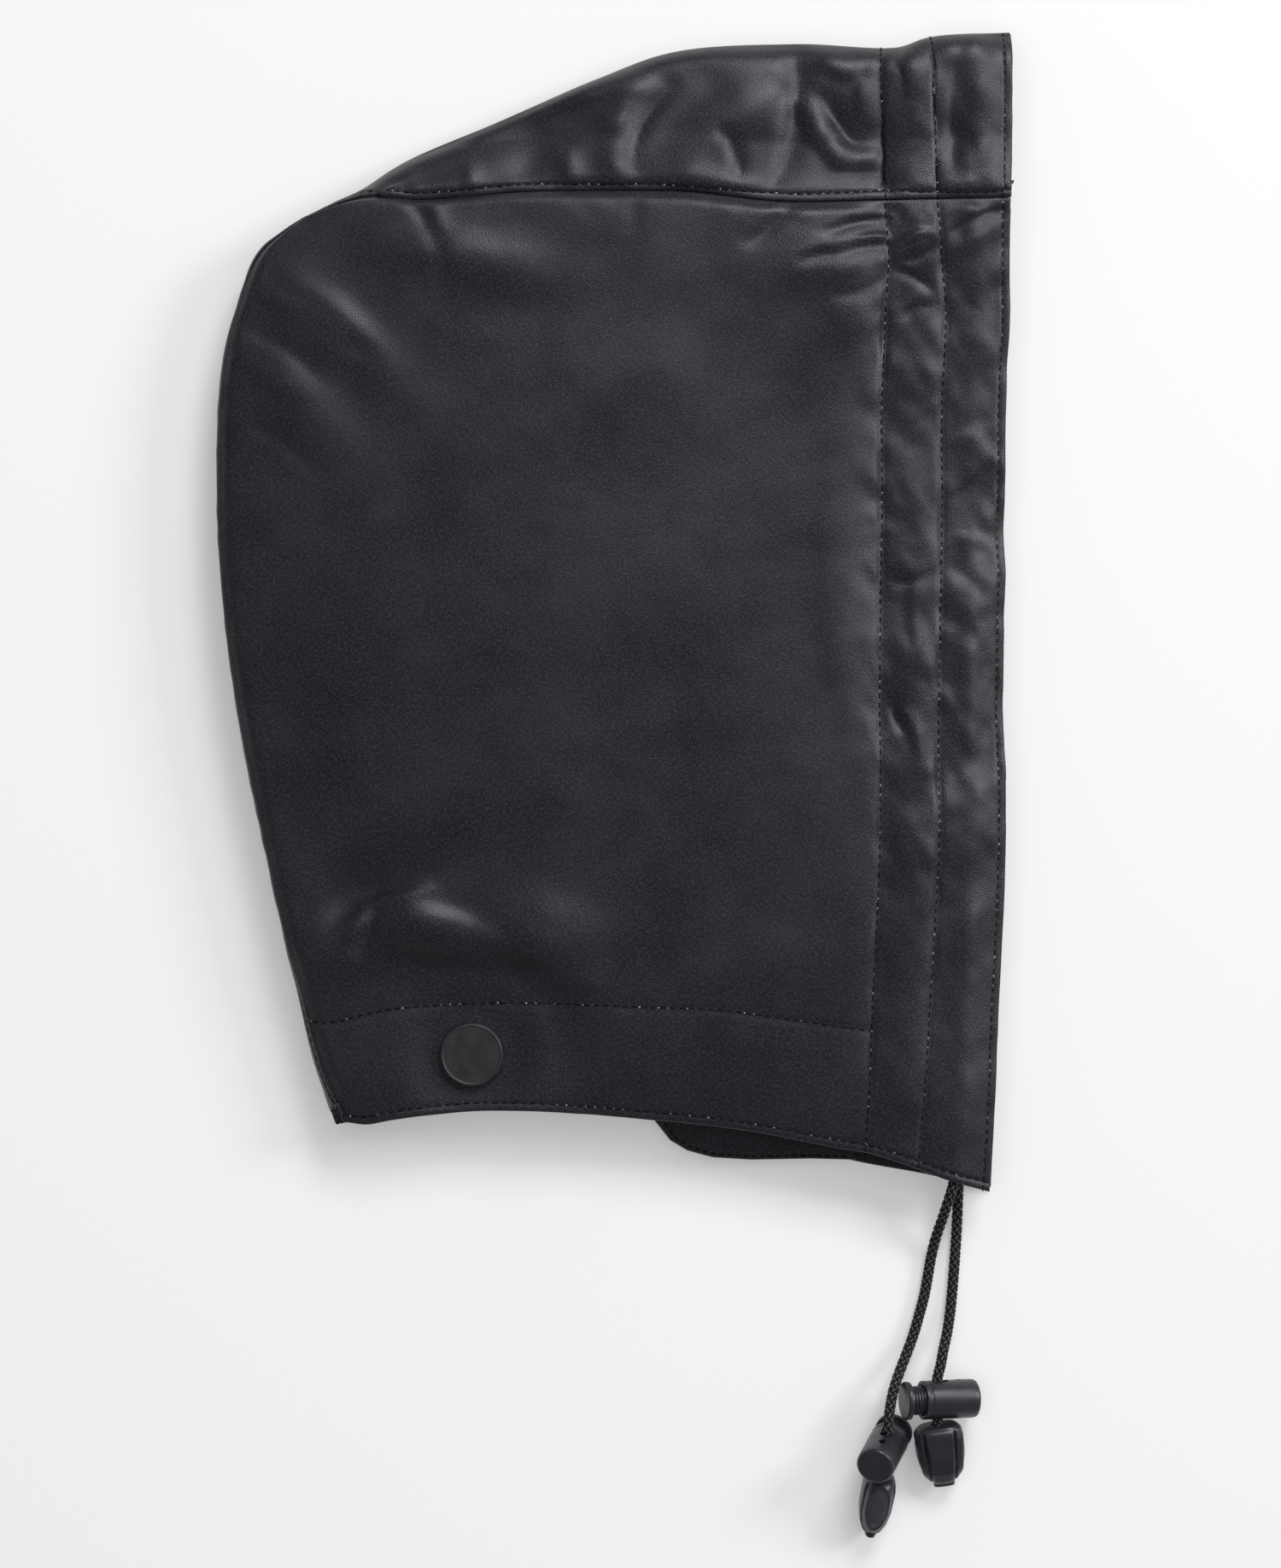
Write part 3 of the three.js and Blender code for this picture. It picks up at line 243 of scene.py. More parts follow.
# Free edges, each row x, y and lift as shares of the hood's width, height and depth
UPPER_FACE_EDGE = (
    (0.972, 0.0, 0.47), (0.977, 0.046, 0.47), (0.983, 0.144, 0.46), (0.991, 0.272, 0.45),
    (0.99, 0.439, 0.45), (0.992, 0.591, 0.46), (0.992, 0.675, 0.48), (0.997, 0.752, 0.53),
)
UPPER_NECK_EDGE = (
    (0.922, 0.01, 0.6), (0.836, 0.031, 0.62), (0.765, 0.041, 0.61), (0.658, 0.055, 0.6), (0.54, 0.064, 0.6),
    (0.449, 0.069, 0.61), (0.336, 0.071, 0.62), (0.279, 0.068, 0.61), (0.222, 0.063, 0.58),
    (0.19, 0.059, 0.57),
)
LOWER_FACE_EDGE = (
    (0.977, 0.001, 0.0), (0.981, 0.069, 0.0), (0.987, 0.272, 0.0), (0.987, 0.439, 0.0), (0.991, 0.675, 0.0),
)
LOWER_NECK_EDGE = (
    (0.888, 0.013, 0.0), (0.802, 0.024, 0.0), (0.695, 0.044, 0.0), (0.54, 0.065, 0.0), (0.373, 0.071, 0.0),
)

# Broad folds of the upper side: x, y, angle, length, width and rise, in shares of the hood's sizes
BROAD_FOLDS = (
    (0.153, 0.739, -39, 0.1, 0.034, 0.07), (0.11, 0.68, -47, 0.08, 0.034, 0.06),
    (0.314, 0.805, -10, 0.1, 0.034, 0.07), (0.775, 0.81, 22, 0.08, 0.034, 0.08),
    (0.79, 0.76, 48, 0.08, 0.034, 0.06), (0.19, 0.255, 28, 0.07, 0.045, -0.14),
    (0.19, 0.222, 28, 0.11, 0.034, 0.1), (0.283, 0.216, -23, 0.09, 0.036, 0.08),
    (0.438, 0.23, -24, 0.07, 0.036, 0.06),
)

CROWN_FOLDS = tuple(Fold(*row) for row in (
    (-47, 146.5, -31.5, 153.5, 3.4, 0.7), (-31.5, 153.5, 12.5, 163, 3.7, 0.9),
    (-64.5, 138.5, -60.5, 129, 2.1, 0.8), (-45.5, 141.5, -43.5, 129.5, 2.4, 0.7),
    (-15, 141.5, -13, 133, 2.4, 0.7), (1, 134.5, 2, 149.5, 4, 1), (2, 149.5, 8.5, 161.5, 4, 1),
    (3, 139.5, 17.5, 162.5, 3.4, -1), (21.5, 135, 43.5, 157.5, 10, 2.2), (34, 148, 38.5, 133.5, 2.4, -0.9),
    (57.5, 172.5, 50, 129.5, 4.6, -1.5), (58, 157, 63.5, 147, 3.4, 1), (63.5, 147, 69, 139.5, 3.2, 0.9),
    (69, 139.5, 82, 139.5, 2.6, 0.7), (64.5, 158, 74.5, 142, 3.6, -1.2), (66, 169, 73, 166.5, 2.9, 0.8),
    (76.5, 162, 78.5, 152, 2.4, 0.8), (90, 172, 92.5, 161.5, 2.6, 0.7),
    (105.5, 173.5, 105.5, 130.5, 3.4, -0.5), (114, 168, 114.5, 136.5, 3.7, 0.5),
    (88, 176, 87.5, 169, 2.1, -0.9), (-26, 139, -5, 155, 6.9, -0.6), (-73.5, 133.5, -65.5, 135, 3.2, 0.6),
))
SIDE_FOLDS = tuple(Fold(*row) for row in (
    (-64, 126, -57.5, 119.5, 2.1, -0.5), (-57.5, 119.5, -52, 101, 2.6, -0.4),
    (-56, 123.5, -53.5, 116.5, 2.4, 0.45), (6.5, 125.5, 5, 117, 2.1, -0.3), (-109.5, 99, -82, 84, 3.4, 0.4),
    (-103.5, 100, -72, 75, 2.9, -0.4), (-100.5, 104, -69, 77, 3.2, 0.45), (-113, 88, -90, 72, 2.9, -0.4),
    (-115, 78.5, -94, 65, 3.2, 0.35), (-110.5, 57.5, -89.5, 41.5, 3.2, -0.4),
    (54.5, 125.5, 41, 112.5, 2.1, -0.7), (84, 121.5, 66, 116.5, 1.8, -0.9),
    (84, 113.5, 70.5, 110.5, 1.3, -1.2), (70.5, 110.5, 57.5, 107.5, 1.6, -0.9),
    (83.5, 116, 74.5, 113, 1.6, 0.9), (82.5, 109, 64.5, 101.5, 2.4, 0.5),
    (82.5, 101.5, 69, 96.5, 1.8, -0.5), (99.5, 112.5, 86.5, 107.5, 1.3, -0.8),
    (98, 100.5, 85.5, 106.5, 1.3, -0.7), (98.5, 117.5, 86.5, 114, 1.6, 0.6),
    (99.5, 95.5, 87, 91, 1.6, -0.5), (119.5, 125, 104, 117, 1.8, -0.9), (120, 110, 111.5, 98, 3.2, 0.8),
    (119, 120, 105.5, 112, 2.1, 0.5), (98, 12, 87, 9, 1.8, -0.6), (92.5, 10, 93.5, -12, 2.6, 0.6),
    (85.5, -29, 88.5, -37, 1.5, -0.7), (90, -31, 94, -43, 2.4, 0.7), (117, 57.5, 103, 52, 2.6, 0.4),
    (116, 45, 106, 35, 2.6, -0.4), (104, 14, 114, 5, 2.4, -0.5), (119, 20.5, 104, 23.5, 2.4, 0.4),
    (-80.5, -100.5, -74.5, -93.5, 2.4, 1.6), (-71.5, -94.5, -79, -104.5, 1.8, -1.2),
    (-76, -92.5, -56, -86, 2.4, 0.9), (-66, -95, -36, -107, 8.5, 1.7), (-36, -99, -9, -111, 7, 1.7),
    (-31.5, -101, -20, -104.5, 3.4, 0.6), (-26.5, -114.5, -4, -115, 2.6, 0.4),
    (-57.5, -88.5, -28.5, -100, 3.4, -0.6), (-42, 52, 11, 78.5, 15.8, 0.5),
    (-26, -38, 48, -11.5, 18.5, -0.5), (69, 78.5, 71.5, -48.5, 6.3, 0.5),
))

# Distance of each sewn line from its edge: first the place along the edge, then the distance
OUTER_HEM = (
    (-169, 23.8), (-136, 22.5), (-97, 21.7), (26, 19.8), (93, 19.8), (108, 21.1), (129, 22.5), (159, 24.3),
)
INNER_HEM = (
    (-169, 41), (-118, 40.4), (-75, 39.9), (26, 38.6), (93, 38.6), (108, 37.5), (129, 38.6), (176, 40.4),
)
NECK_BAND = (
    (-95, 32.5), (-79, 32.5), (-59, 33.8), (-45, 33.3), (-12, 34), (16, 35.1), (34, 36.2), (76, 37.5),
)

# Random hills of the hem: rise, stretch across, lean, distance between two hills and seed
HEM_CRUMPLE = ((1.05, 0.9, 0.5, 13, 24), (0.36, 1.0, -0.7, 6.5, 25), (0.09, 1.0, 0.4, 3.1, 26))

# The doubled flap's outline, in shares of the hood's width and height, and its rings from the middle out
CHIN_OUTLINE = (
    (0.806, 0.024), (0.749, 0.025), (0.673, 0.024), (0.625, 0.026), (0.593, 0.032), (0.571, 0.041),
    (0.547, 0.062), (0.518, 0.088), (0.51, 0.1), (0.525, 0.109), (0.588, 0.112), (0.806, 0.1),
)
CHIN_MIDDLE = (0.68, 0.066)
CHIN_TIP = 9  # the outline's point where its sewn line ends
CHIN_RINGS = (0.3, 0.55, 0.75, 0.86, 0.93, 0.97, 0.99, 1.0)


@dataclass
class ClothSheet:
    """The outside of one panel: a grid of points, the way into the cloth and the place on the cut piece."""

    points: Array
    inward: Array
    cut: Array
    crest: Array

    def part(self, columns: slice, rows: slice) -> "ClothSheet":
        """Takes a smaller grid out of this one."""
        grids = (self.points, self.inward, self.cut, self.crest)
        return ClothSheet(*(each[columns, rows] for each in grids))

    def under(self, column: int, depth: float) -> Array:
        """Follows one column of the grid at a depth below the outside."""
        return self.points[column] + self.inward[column] * depth


def outward(grid: Array, up: bool) -> Array:
    """Finds the direction out of the cloth at each point of a grid.

    Args:
        grid: points of the surface.
        up: whether the first corner faces up.

    Returns:
        One unit vector for each point.
    """
    across = np.gradient(grid, axis=0)
    along = np.gradient(grid, axis=1)
    normals = unit(np.cross(across, along))
    return normals if (normals[0, 0, 2] > 0) == up else -normals


def run_along(grid: Array, axis: int) -> Array:
    """Measures how far each point of a grid lies from the grid's first edge.

    Args:
        grid: points of the surface.
        axis: 0 to measure across the columns and 1 to measure up the rows.

    Returns:
        One distance for each point.
    """
    steps = np.linalg.norm(np.diff(grid, axis=axis), axis=-1)
    pad = [(0, 0), (0, 0)]
    pad[axis] = (1, 0)
    return np.pad(np.cumsum(steps, axis=axis), pad)


@dataclass
class HoodForm:
    """The surfaces of the laid hood, from the same sizes as its solids, with the cloth's fine folds."""

    width: float = 246
    height: float = 357.5
    depth: float = 30
    swell: float = 7.2
    cloth: float = 1.2
    facing_cloth: float = 0.9
    gap: float = 0.3
    seam_setback: float = 0.2
    facing_setback: float = 0.8
    face_hem: float = 39
    neck_hem: float = 33
    cord_play: float = 0.05
    channel_room: float = 3.9
    stand_off: tuple = ((0, 0), (0.14, 0.62), (0.28, 1), (0.42, 0.62), (0.56, 0), (1, 0))
    cord_column: float = 0.28
    stud_flat: float = 26
    stud_fade: float = 44
    underside_lift: float = 2.5
    stud_right: tuple = (0.322, 0.118, 0.64)
    stud_left: tuple = (0.426, 0.117)
    stud_back: tuple = (0.118, 0.118)
    stud_back_inset: float = 9.5
    edge_stitch: float = 2.0
    seam_stitch: float = 2.4
    groove: float = 0.3
    edge_groove: float = 0.25
    rim_swell: float = 0.5
    cord_swell: float = 0.85
    band_swell: float = 1.25
    body_swell: float = 1.9
    body_run: float = 7
    line_width: float = 0.9
    edge_width: float = 0.6
    stud_calm: tuple = (11, 24)
    neck_calm: tuple = (2, 30)
    seam_rise: float = 1.2
    seam_reach: float = 22
    seam_dip: float = 0.25
    seam_blend: float = 6
    underside_wave: float = 0.25
    crown_gain: float = 1.1
    crown_calm: tuple = (20, 80)
    crown_hem: tuple = (130, 190)
    crown_rows: tuple = (129, 176)
    crown_slope: float = 0.17
    crown_run: float = 19
    crown_fullness: tuple = ((-40, 60), (0.7, 1.7))
    fold_gain: float = 1.45
    section_steps: int = 160
    seam_beside: float = 9.0
    columns: Array = field(init=False)
    rows: Array = field(init=False)

    def __post_init__(self) -> None:
        """Sets out the seams and builds the three panels."""
        self.columns = np.concatenate([
            np.linspace(0, 0.1, 10)[:-1], np.linspace(0.1, 1.0, 46)[:-1], np.linspace(1, 1.93, 96)[:-1],
            np.linspace(1.93, 2, 26),
        ])
        self.rows = np.concatenate([
            np.linspace(0, 0.1, 8)[:-1], np.linspace(0.1, 1.0, 28)[:-1], np.linspace(1, 1.95, 202)[:-1],
            np.linspace(1.95, 2, 28),
        ])
        self.right_stud = self.place(*self.stud_right)
        self.left_stud = self.place(*self.stud_left, 0)
        self.back_stud = self.place(*self.stud_back, 0) + np.array([self.stud_back_inset, 0, 0])
        self.near = Line([self.place(row.near_x, row.near_y, row.lift) for row in STATIONS])
        self.fold = Line([self.place(row.fold_x, row.fold_y, row.lift) for row in STATIONS])
        self.far = Line([self.place(row.far_x, row.far_y, row.lift) for row in STATIONS])
        self.crown_length = float(np.interp(CROWN_BACK_STATION, self.near.places, self.near.reach))
        self.back_length = self.near.length - self.crown_length
        crown = self.near.place_at(self.reach(self.columns, self.face_hem, self.crown_length))
        back = self.near.place_at(self.near.length - self.reach(self.rows, self.neck_hem, self.back_length))
        self.seam_places = np.concatenate([crown, back[::-1][1:]])
        self.crown_places, self.back_places = crown, back
        self.build()

    def place(self, x: float, y: float, lift: float) -> Array:
        """Turns shares of the hood's sizes into a point."""
        return np.array([(x - 0.5) * self.width, (y - 0.5) * self.height, lift * self.depth])

    def reach(self, shares: Array, hem: float, length: float) -> Array:
        """Spaces grid lines, from 0 at the edge over 1 at the hem's end to 2 at the whole length."""
        return np.where(shares <= 1, shares * hem, hem + (length - hem) * (shares - 1))

    def underside(self, x: Array, y: Array) -> Array:
        """Height of the lower layer, which lies on the surface but is lifted over its two studs."""
        left, back = (self.near_stud(x, y, stud) for stud in (self.left_stud, self.back_stud))
        return self.underside_lift * np.maximum(left, back)

    def near_stud(self, x: Array, y: Array, stud: Array) -> Array:
        """Falls from one round a stud to nothing."""
        return fade(np.hypot(x - stud[0], y - stud[1]), self.stud_flat, self.stud_fade)

    def far_point(self, places: Array) -> Array:
        """Reads the lower seam, which lies on the underside.

        Args:
            places: where along the seam.

        Returns:
            One point for each place.
        """
        points = self.far.at(places)
        points[..., 2] = self.underside(points[..., 0], points[..., 1])
        return points

    def patch(self, face_rows: Sequence, neck_rows: Sequence, seam: Callable[[Array], Array]) -> tuple:
        """Fills a side panel in between its face edge, its neck edge and its seam.

        Args:
            face_rows: rows of the face edge.
            neck_rows: rows of the neck edge.
            seam: reads the seam at its places.

        Returns:
            The grid of points and each point's share across and up.
        """
        crown, back = seam(self.crown_places), seam(self.back_places)
        face = Line([self.place(*row) for row in face_rows] + [crown[0]])
        neck = Line([face.points[0]] + [self.place(*row) for row in neck_rows] + [back[0]])
        on_neck = self.reach(self.columns, self.face_hem, neck.length)
        on_face = self.reach(self.rows, self.neck_hem, face.length)
        neck_share = (on_neck / neck.length)[:, None]
        face_share = (on_face / face.length)[None, :]
        on_crown = self.reach(self.columns, self.face_hem, self.crown_length)
        on_back = self.reach(self.rows, self.neck_hem, self.back_length)
        crown_share = (on_crown / self.crown_length)[:, None]
        back_share = (on_back / self.back_length)[None, :]
        across, up = (neck_share + crown_share) / 2, (face_share + back_share) / 2
        for _ in range(3):
            across = lerp(neck_share, crown_share, up)
            up = lerp(face_share, back_share, across)
        u, v = across[..., None], up[..., None]
        grid = lerp(neck.at_length(on_neck)[:, None], crown[:, None], v)
        grid = grid + lerp(face.at_length(on_face)[None], back[None], u)
        corners = lerp(lerp(face.points[0], back[0], u), lerp(crown[0], back[-1], u), v)
        return grid - corners, across, up

    def broad_height(self, x: Array, y: Array) -> Array:
        """Height of the broad folds.

        Args:
            x: places across.
            y: places up.

        Returns:
            Heights over the smooth surface.
        """
        total = np.zeros_like(x)
        for share_x, share_y, angle, length, width, rise in BROAD_FOLDS:
            centre = self.place(share_x, share_y, 0)
            cos, sin = math.cos(math.radians(angle)), math.sin(math.radians(angle))
            along = ((x - centre[0]) * cos + (y - centre[1]) * sin) / (length * self.width)
            across = ((y - centre[1]) * cos - (x - centre[0]) * sin) / (width * self.width)
            total += rise * self.depth * np.exp(-along * along - across * across)
        return total

    def wrinkles(self, x: Array, y: Array, folds: Sequence[Fold]) -> Array:
        """Height of the fine folds, with soft random ones between them.

        Args:
            x: places across.
            y: places up.
            folds: the folds to raise.

        Returns:
            Heights over the smooth surface.
        """
        total = self.fold_gain * sum(fold.height(x, y) for fold in folds)
        total = total + 0.5 * noise(x, y, 34, 11) + 0.24 * noise(x, y, 15, 12)
        slant = noise(0.8 * x + 0.6 * y, (0.8 * y - 0.6 * x) * 2.2, 17, 13)
        return total + 0.16 * slant + 0.05 * noise(x, y, 5, 14)

    def hem_relief(self, from_face: Array, y: Array) -> Array:
        """Height of the hem between its sewn lines, with the cord under it and the pull of the thread.

        Args:
            from_face: distances from the face edge.
            y: places up.

        Returns:
            Heights over the smooth surface.
        """
        outer = np.interp(y, *zip(*OUTER_HEM))
        inner = np.interp(y, *zip(*INNER_HEM))
        rim = self.rim_swell * np.sin(math.pi * np.clip(from_face / outer, 0, 1)) ** 0.8
        cord_middle = self.cord_column * self.face_hem
        cord = self.cord_swell * bump(from_face - cord_middle, 3.8)
        cord = cord * (0.7 + 0.3 * noise(y, 0 * y, 22, 21, 0))
        across_band = np.clip((from_face - outer) / (inner - outer), 0, 1)
        band = self.band_swell * np.sin(math.pi * across_band ** 0.72) ** 0.9
        body = self.body_swell * (1 - np.exp(-np.maximum(0, from_face - inner) / self.body_run))
        total = np.where(from_face < outer, rim + cord, np.where(from_face < inner, band, body))
        inside = fade(from_face, inner[0, 0] - 4, inner[0, 0] + 12)
        crumple = sum(
            rise * noise(from_face * stretch, y + lean * from_face, cell, seed)
            for rise, stretch, lean, cell, seed in HEM_CRUMPLE
        )
        total = total + crumple * inside * (0.3 + 0.7 * fade(-y, 55, 105))
        for line, seed in ((outer, 22), (inner, 23)):
            away = np.abs(from_face - line)
            ripple = noise(y + 0.4 * from_face, from_face * 0.25, 4.5, seed, 0)
            wide = noise(y, from_face * 0.3, 13, seed + 5, 0)
            total = total - self.groove * bump(away, self.line_width)
            total = total + (0.3 * ripple + 0.35 * wide) * np.exp(-away / 7) * (1 - bump(away, 1.6))
        return total - self.edge_groove * bump(from_face - self.edge_stitch, self.edge_width)

    def neck_relief(self, from_neck: Array, from_face: Array, x: Array) -> Array:
        """Height of the neck hem below its sewn line.

        Args:
            from_neck: distances from the neck edge.
            from_face: distances from the face edge.
            x: places across.

        Returns:
            Heights over the smooth surface.
        """
        line = np.interp(x, *zip(*NECK_BAND))
        inside = 1 - fade(from_face, self.face_hem - 2, self.face_hem + 2)
        band = 0.3 * np.sin(math.pi * np.clip(from_neck / line, 0, 1))
        above = 0.45 * (1 - np.exp(-np.maximum(0, from_neck - line) / 8))
        away = np.abs(from_neck - line)
        ripple = 0.22 * noise(x, from_neck * 0.3, 5, 31, 0) * np.exp(-away / 6)
        sewn = (ripple - self.groove * bump(away, self.line_width)) * inside
        hem = 0.14 * noise(x, 0 * x, 6, 32, 0) * np.exp(-from_neck / 4)
        hem = hem - self.edge_groove * bump(from_neck - self.edge_stitch, self.edge_width)
        return np.where(from_neck < line, band, above) * inside + sewn + hem

    def section(self, places: Array, steps: int) -> tuple:
        """Builds the centre panel's sections, from the upper seam over the fold to the lower seam.

        Args:
            places: where along the seam.
            steps: points in each half of a section.

        Returns:
            The grid of points, and how far each looks up.
        """
        near, fold, far = self.near.at(places), self.fold.at(places), self.far_point(places)
        out = fold[:, :2] - near[:, :2]
        reach = np.linalg.norm(out, axis=1)
        out = out / reach[:, None]
        turn = np.interp(places, range(len(STATIONS)), [row.turn for row in STATIONS]) * self.depth
        top = np.interp(places, range(len(STATIONS)), [row.top for row in STATIONS]) * self.depth
        flat = np.maximum(0, reach - turn)
        start = np.arcsin(np.clip((turn - reach) / turn, 0, 0.97))
        upper = np.where(flat > 0, top, near[:, 2])
        foot = near.copy()
        foot[:, :2] += out * (reach - turn)[:, None]
        foot[:, 2] = self.underside(foot[:, 0], foot[:, 1])
        rise = (upper - foot[:, 2]) / (1 + np.cos(start))
        flat_share = (0.4 * np.minimum(1, flat / (0.5 * self.depth)))[:, None]
        along = np.linspace(0, 1, steps)[None, :]
        share = np.where(flat_share > 0, np.minimum(1, along / np.maximum(flat_share, 1e-6)), 1)
        angle = lerp(start[:, None], math.pi, np.clip((along - flat_share) / (1 - flat_share), 0, 1))
        on_flat = along < flat_share
        rolled = (reach - turn)[:, None] + turn[:, None] * np.sin(angle)
        reach_out = np.where(on_flat, flat[:, None] * share, rolled)
        crown = lerp(near[:, 2:3], upper[:, None], share) + 0.04 * self.depth * np.sin(math.pi * share)
        z = np.where(on_flat, crown, foot[:, 2:3] + rise[:, None] * (1 + np.cos(angle)))
        z[:, 0] = near[:, 2]
        bend = np.dstack([near[:, None, :2] + out[:, None] * reach_out[..., None], z])
        under = lerp(foot[:, None], far[:, None], np.linspace(0, 1, steps)[None, 1:, None])
        under[..., 2] = self.underside(under[..., 0], under[..., 1])
        looks_up = np.where(on_flat, 1, np.clip(1.8 * np.cos(angle), 0, 1))
        return np.concatenate([bend, under], 1), np.pad(looks_up, ((0, 0), (0, steps - 1)))

    def centre_grid(self) -> tuple:
        """Spaces the centre panel's sections evenly, closer beside the upper seam.

        Returns:
            The grid of points, and how far each looks up.
        """
        dense, looks_up = self.section(self.seam_places, self.section_steps)
        length = run_along(dense, 1)
        shares = np.concatenate([np.linspace(0, 1, 26)[:-1], np.linspace(1, 2, 72)])
        grid, turned = [], []
        for line, lengths, up in zip(dense, length, looks_up):
            target = self.reach(shares, self.seam_beside, lengths[-1])
            grid.append(np.stack([np.interp(target, lengths, line[:, axis]) for axis in range(3)], 1))
            turned.append(np.interp(target, lengths, up))
        return np.array(grid), np.array(turned)

    def build(self) -> None:
        """Builds the three panels, which share their seams."""
        upper, relief = self.upper_side()
        lower, _, _ = self.patch(LOWER_FACE_EDGE, LOWER_NECK_EDGE, self.far_point)
        x, y = lower[..., 0], lower[..., 1]
        lower[..., 2] = self.underside(x, y) + self.underside_wave * np.clip(noise(x, y, 28, 51), 0, 1)
        centre, crest = self.centre_strip(upper)
        upper_out, lower_out = outward(upper, True), outward(lower, False)
        centre_out = outward(centre, True)
        self.mitre(upper_out, centre_out, 0)
        self.mitre(lower_out, centre_out, -1)
        upper_cut = np.dstack([self.upper_from_face, self.upper_from_neck])
        lower_cut = np.dstack([run_along(lower, 0), run_along(lower, 1)])
        centre_cut = np.dstack([self.centre_from_face, self.centre_reach])
        self.upper = ClothSheet(upper, -upper_out, upper_cut, relief)
        self.lower = ClothSheet(lower, -lower_out, lower_cut, np.zeros_like(x))
        self.centre = ClothSheet(centre, -centre_out, centre_cut, crest)

    def upper_side(self) -> tuple[Array, Array]:
        """Lays the upper side panel with its swell, its folds, its hems and the flat round its stud.

        Returns:
            The grid of points, and how far each stands over the smooth surface.
        """
        grid, across, up = self.patch(UPPER_FACE_EDGE, UPPER_NECK_EDGE, self.near.at)
        x, y = grid[..., 0], grid[..., 1]
        middle = np.sin(math.pi * np.clip(across, 0, 1)) ** 0.9 * np.sin(math.pi * np.clip(up, 0, 1)) ** 0.7
        inside = np.minimum(1, 12 * np.minimum(np.minimum(across, 1 - across), np.minimum(up, 1 - up)))
        smooth = grid[..., 2] + self.swell * middle + inside * self.broad_height(x, y)
        from_face, from_neck = run_along(grid, 0), run_along(grid, 1)
        self.upper_from_face, self.upper_from_neck = from_face, from_neck
        to_crown = from_neck[:, -1:] - from_neck
        to_seam = np.minimum(to_crown, from_face[-1:, :] - from_face)
        relief = self.wrinkles(x, y, SIDE_FOLDS) * (1 - 0.7 * bump(from_neck, 5))
        relief = relief + self.neck_relief(from_neck, from_face, x)
        relief = relief + self.hem_relief(from_face, y) * (1 - 0.35 * fade(from_neck, *self.neck_calm))
        pull = noise(x + y, x - y, 6, 41) * 0.3 * np.exp(-to_seam / 7)
        calm = 1 - fade(np.hypot(x - self.right_stud[0], y - self.right_stud[1]), *self.stud_calm)
        relief = (relief + pull) * calm * (1 - bump(to_seam, 2.5) * 0.8)
        relief = relief - self.seam_dip * bump(to_seam, 0.5)
        relief = relief + self.seam_rise * bump(to_crown, self.seam_reach)
        grid[..., 2] = lerp(smooth, self.right_stud[2], self.near_stud(x, y, self.right_stud))
        return grid + outward(grid, True) * relief[..., None], relief

    def centre_strip(self, upper: Array) -> tuple[Array, Array]:
        """Lays the centre panel with its folds, its hem and the relief of its seam.

        Args:
            upper: the upper side panel's points, on whose edge it starts.

        Returns:
            The grid of points, and how far each stands over the smooth surface.
        """
        grid, looks_up = self.centre_grid()
        joined = np.concatenate([upper[:, -1], upper[-1, ::-1][1:]])
        shift = joined - grid[:, 0]
        reach = run_along(grid, 1)
        grid = grid + shift[:, None] * bump(reach, self.seam_blend)[..., None]
        x, y = grid[..., 0], grid[..., 1]
        from_face = run_along(grid, 0)
        self.centre_from_face, self.centre_reach = from_face, reach
        folds = self.crown_gain * self.wrinkles(x, y, CROWN_FOLDS)
        folds = folds + 2.1 * noise(x, y, 25, 15) + 0.4 * noise(x + 0.4 * y, y, 11, 16)
        folds = folds * (0.35 + 0.65 * fade(-x, *self.crown_calm))
        hem = self.hem_relief(from_face, np.clip(y, *self.crown_rows))
        folds = folds + hem * fade(from_face, *self.crown_hem)
        folds = folds * (1 - bump(reach, 3.2)) * looks_up
        tilt = self.crown_slope * np.minimum(reach, self.crown_run) * fade(-y, -115, -90)
        seam = 0.15 * fade(reach, 3.5, 7) - self.groove * bump(reach - self.seam_stitch, 0.5)
        seam = seam - 0.3 * bump(reach, 0.4)
        pull = 0.22 * noise(from_face, reach * 0.4, 4.5, 61, 0)
        pull = pull * np.exp(-np.abs(reach - self.seam_stitch) / 6) * np.minimum(1, reach / 2)
        fuller = np.interp(x, *self.crown_fullness) * fade(-y, -120, -90)
        grid[..., 2] += folds - tilt * looks_up
        grid[..., :2] += outward(grid, True)[..., :2] * fuller[..., None]
        grid = grid + outward(grid, True) * (seam + pull)[..., None]
        return grid, (folds + seam) * looks_up

    def mitre(self, side: Array, centre: Array, end: int) -> None:
        """Ends both cloths of a seam on the plane halfway between them.

        Args:
            side: directions out of the side panel.
            centre: directions out of the centre panel.
            end: the section's first or last point, whichever lies on this seam.
        """
        count = len(self.columns)
        own = np.concatenate([side[:, -1], side[-1, ::-1][1:]])
        half = unit(own + centre[:, end])
        half = half / np.maximum(0.5, (half * own).sum(-1, keepdims=True))
        centre[:, end] = half
        side[:, -1] = half[:count]
        side[-1, :] = half[count - 1:][::-1]

    def facing_room(self, shares: Array) -> Array:
        """How far the face hem stands off round its cord."""
        return self.channel_room * np.interp(shares, *zip(*self.stand_off))


# Meshes


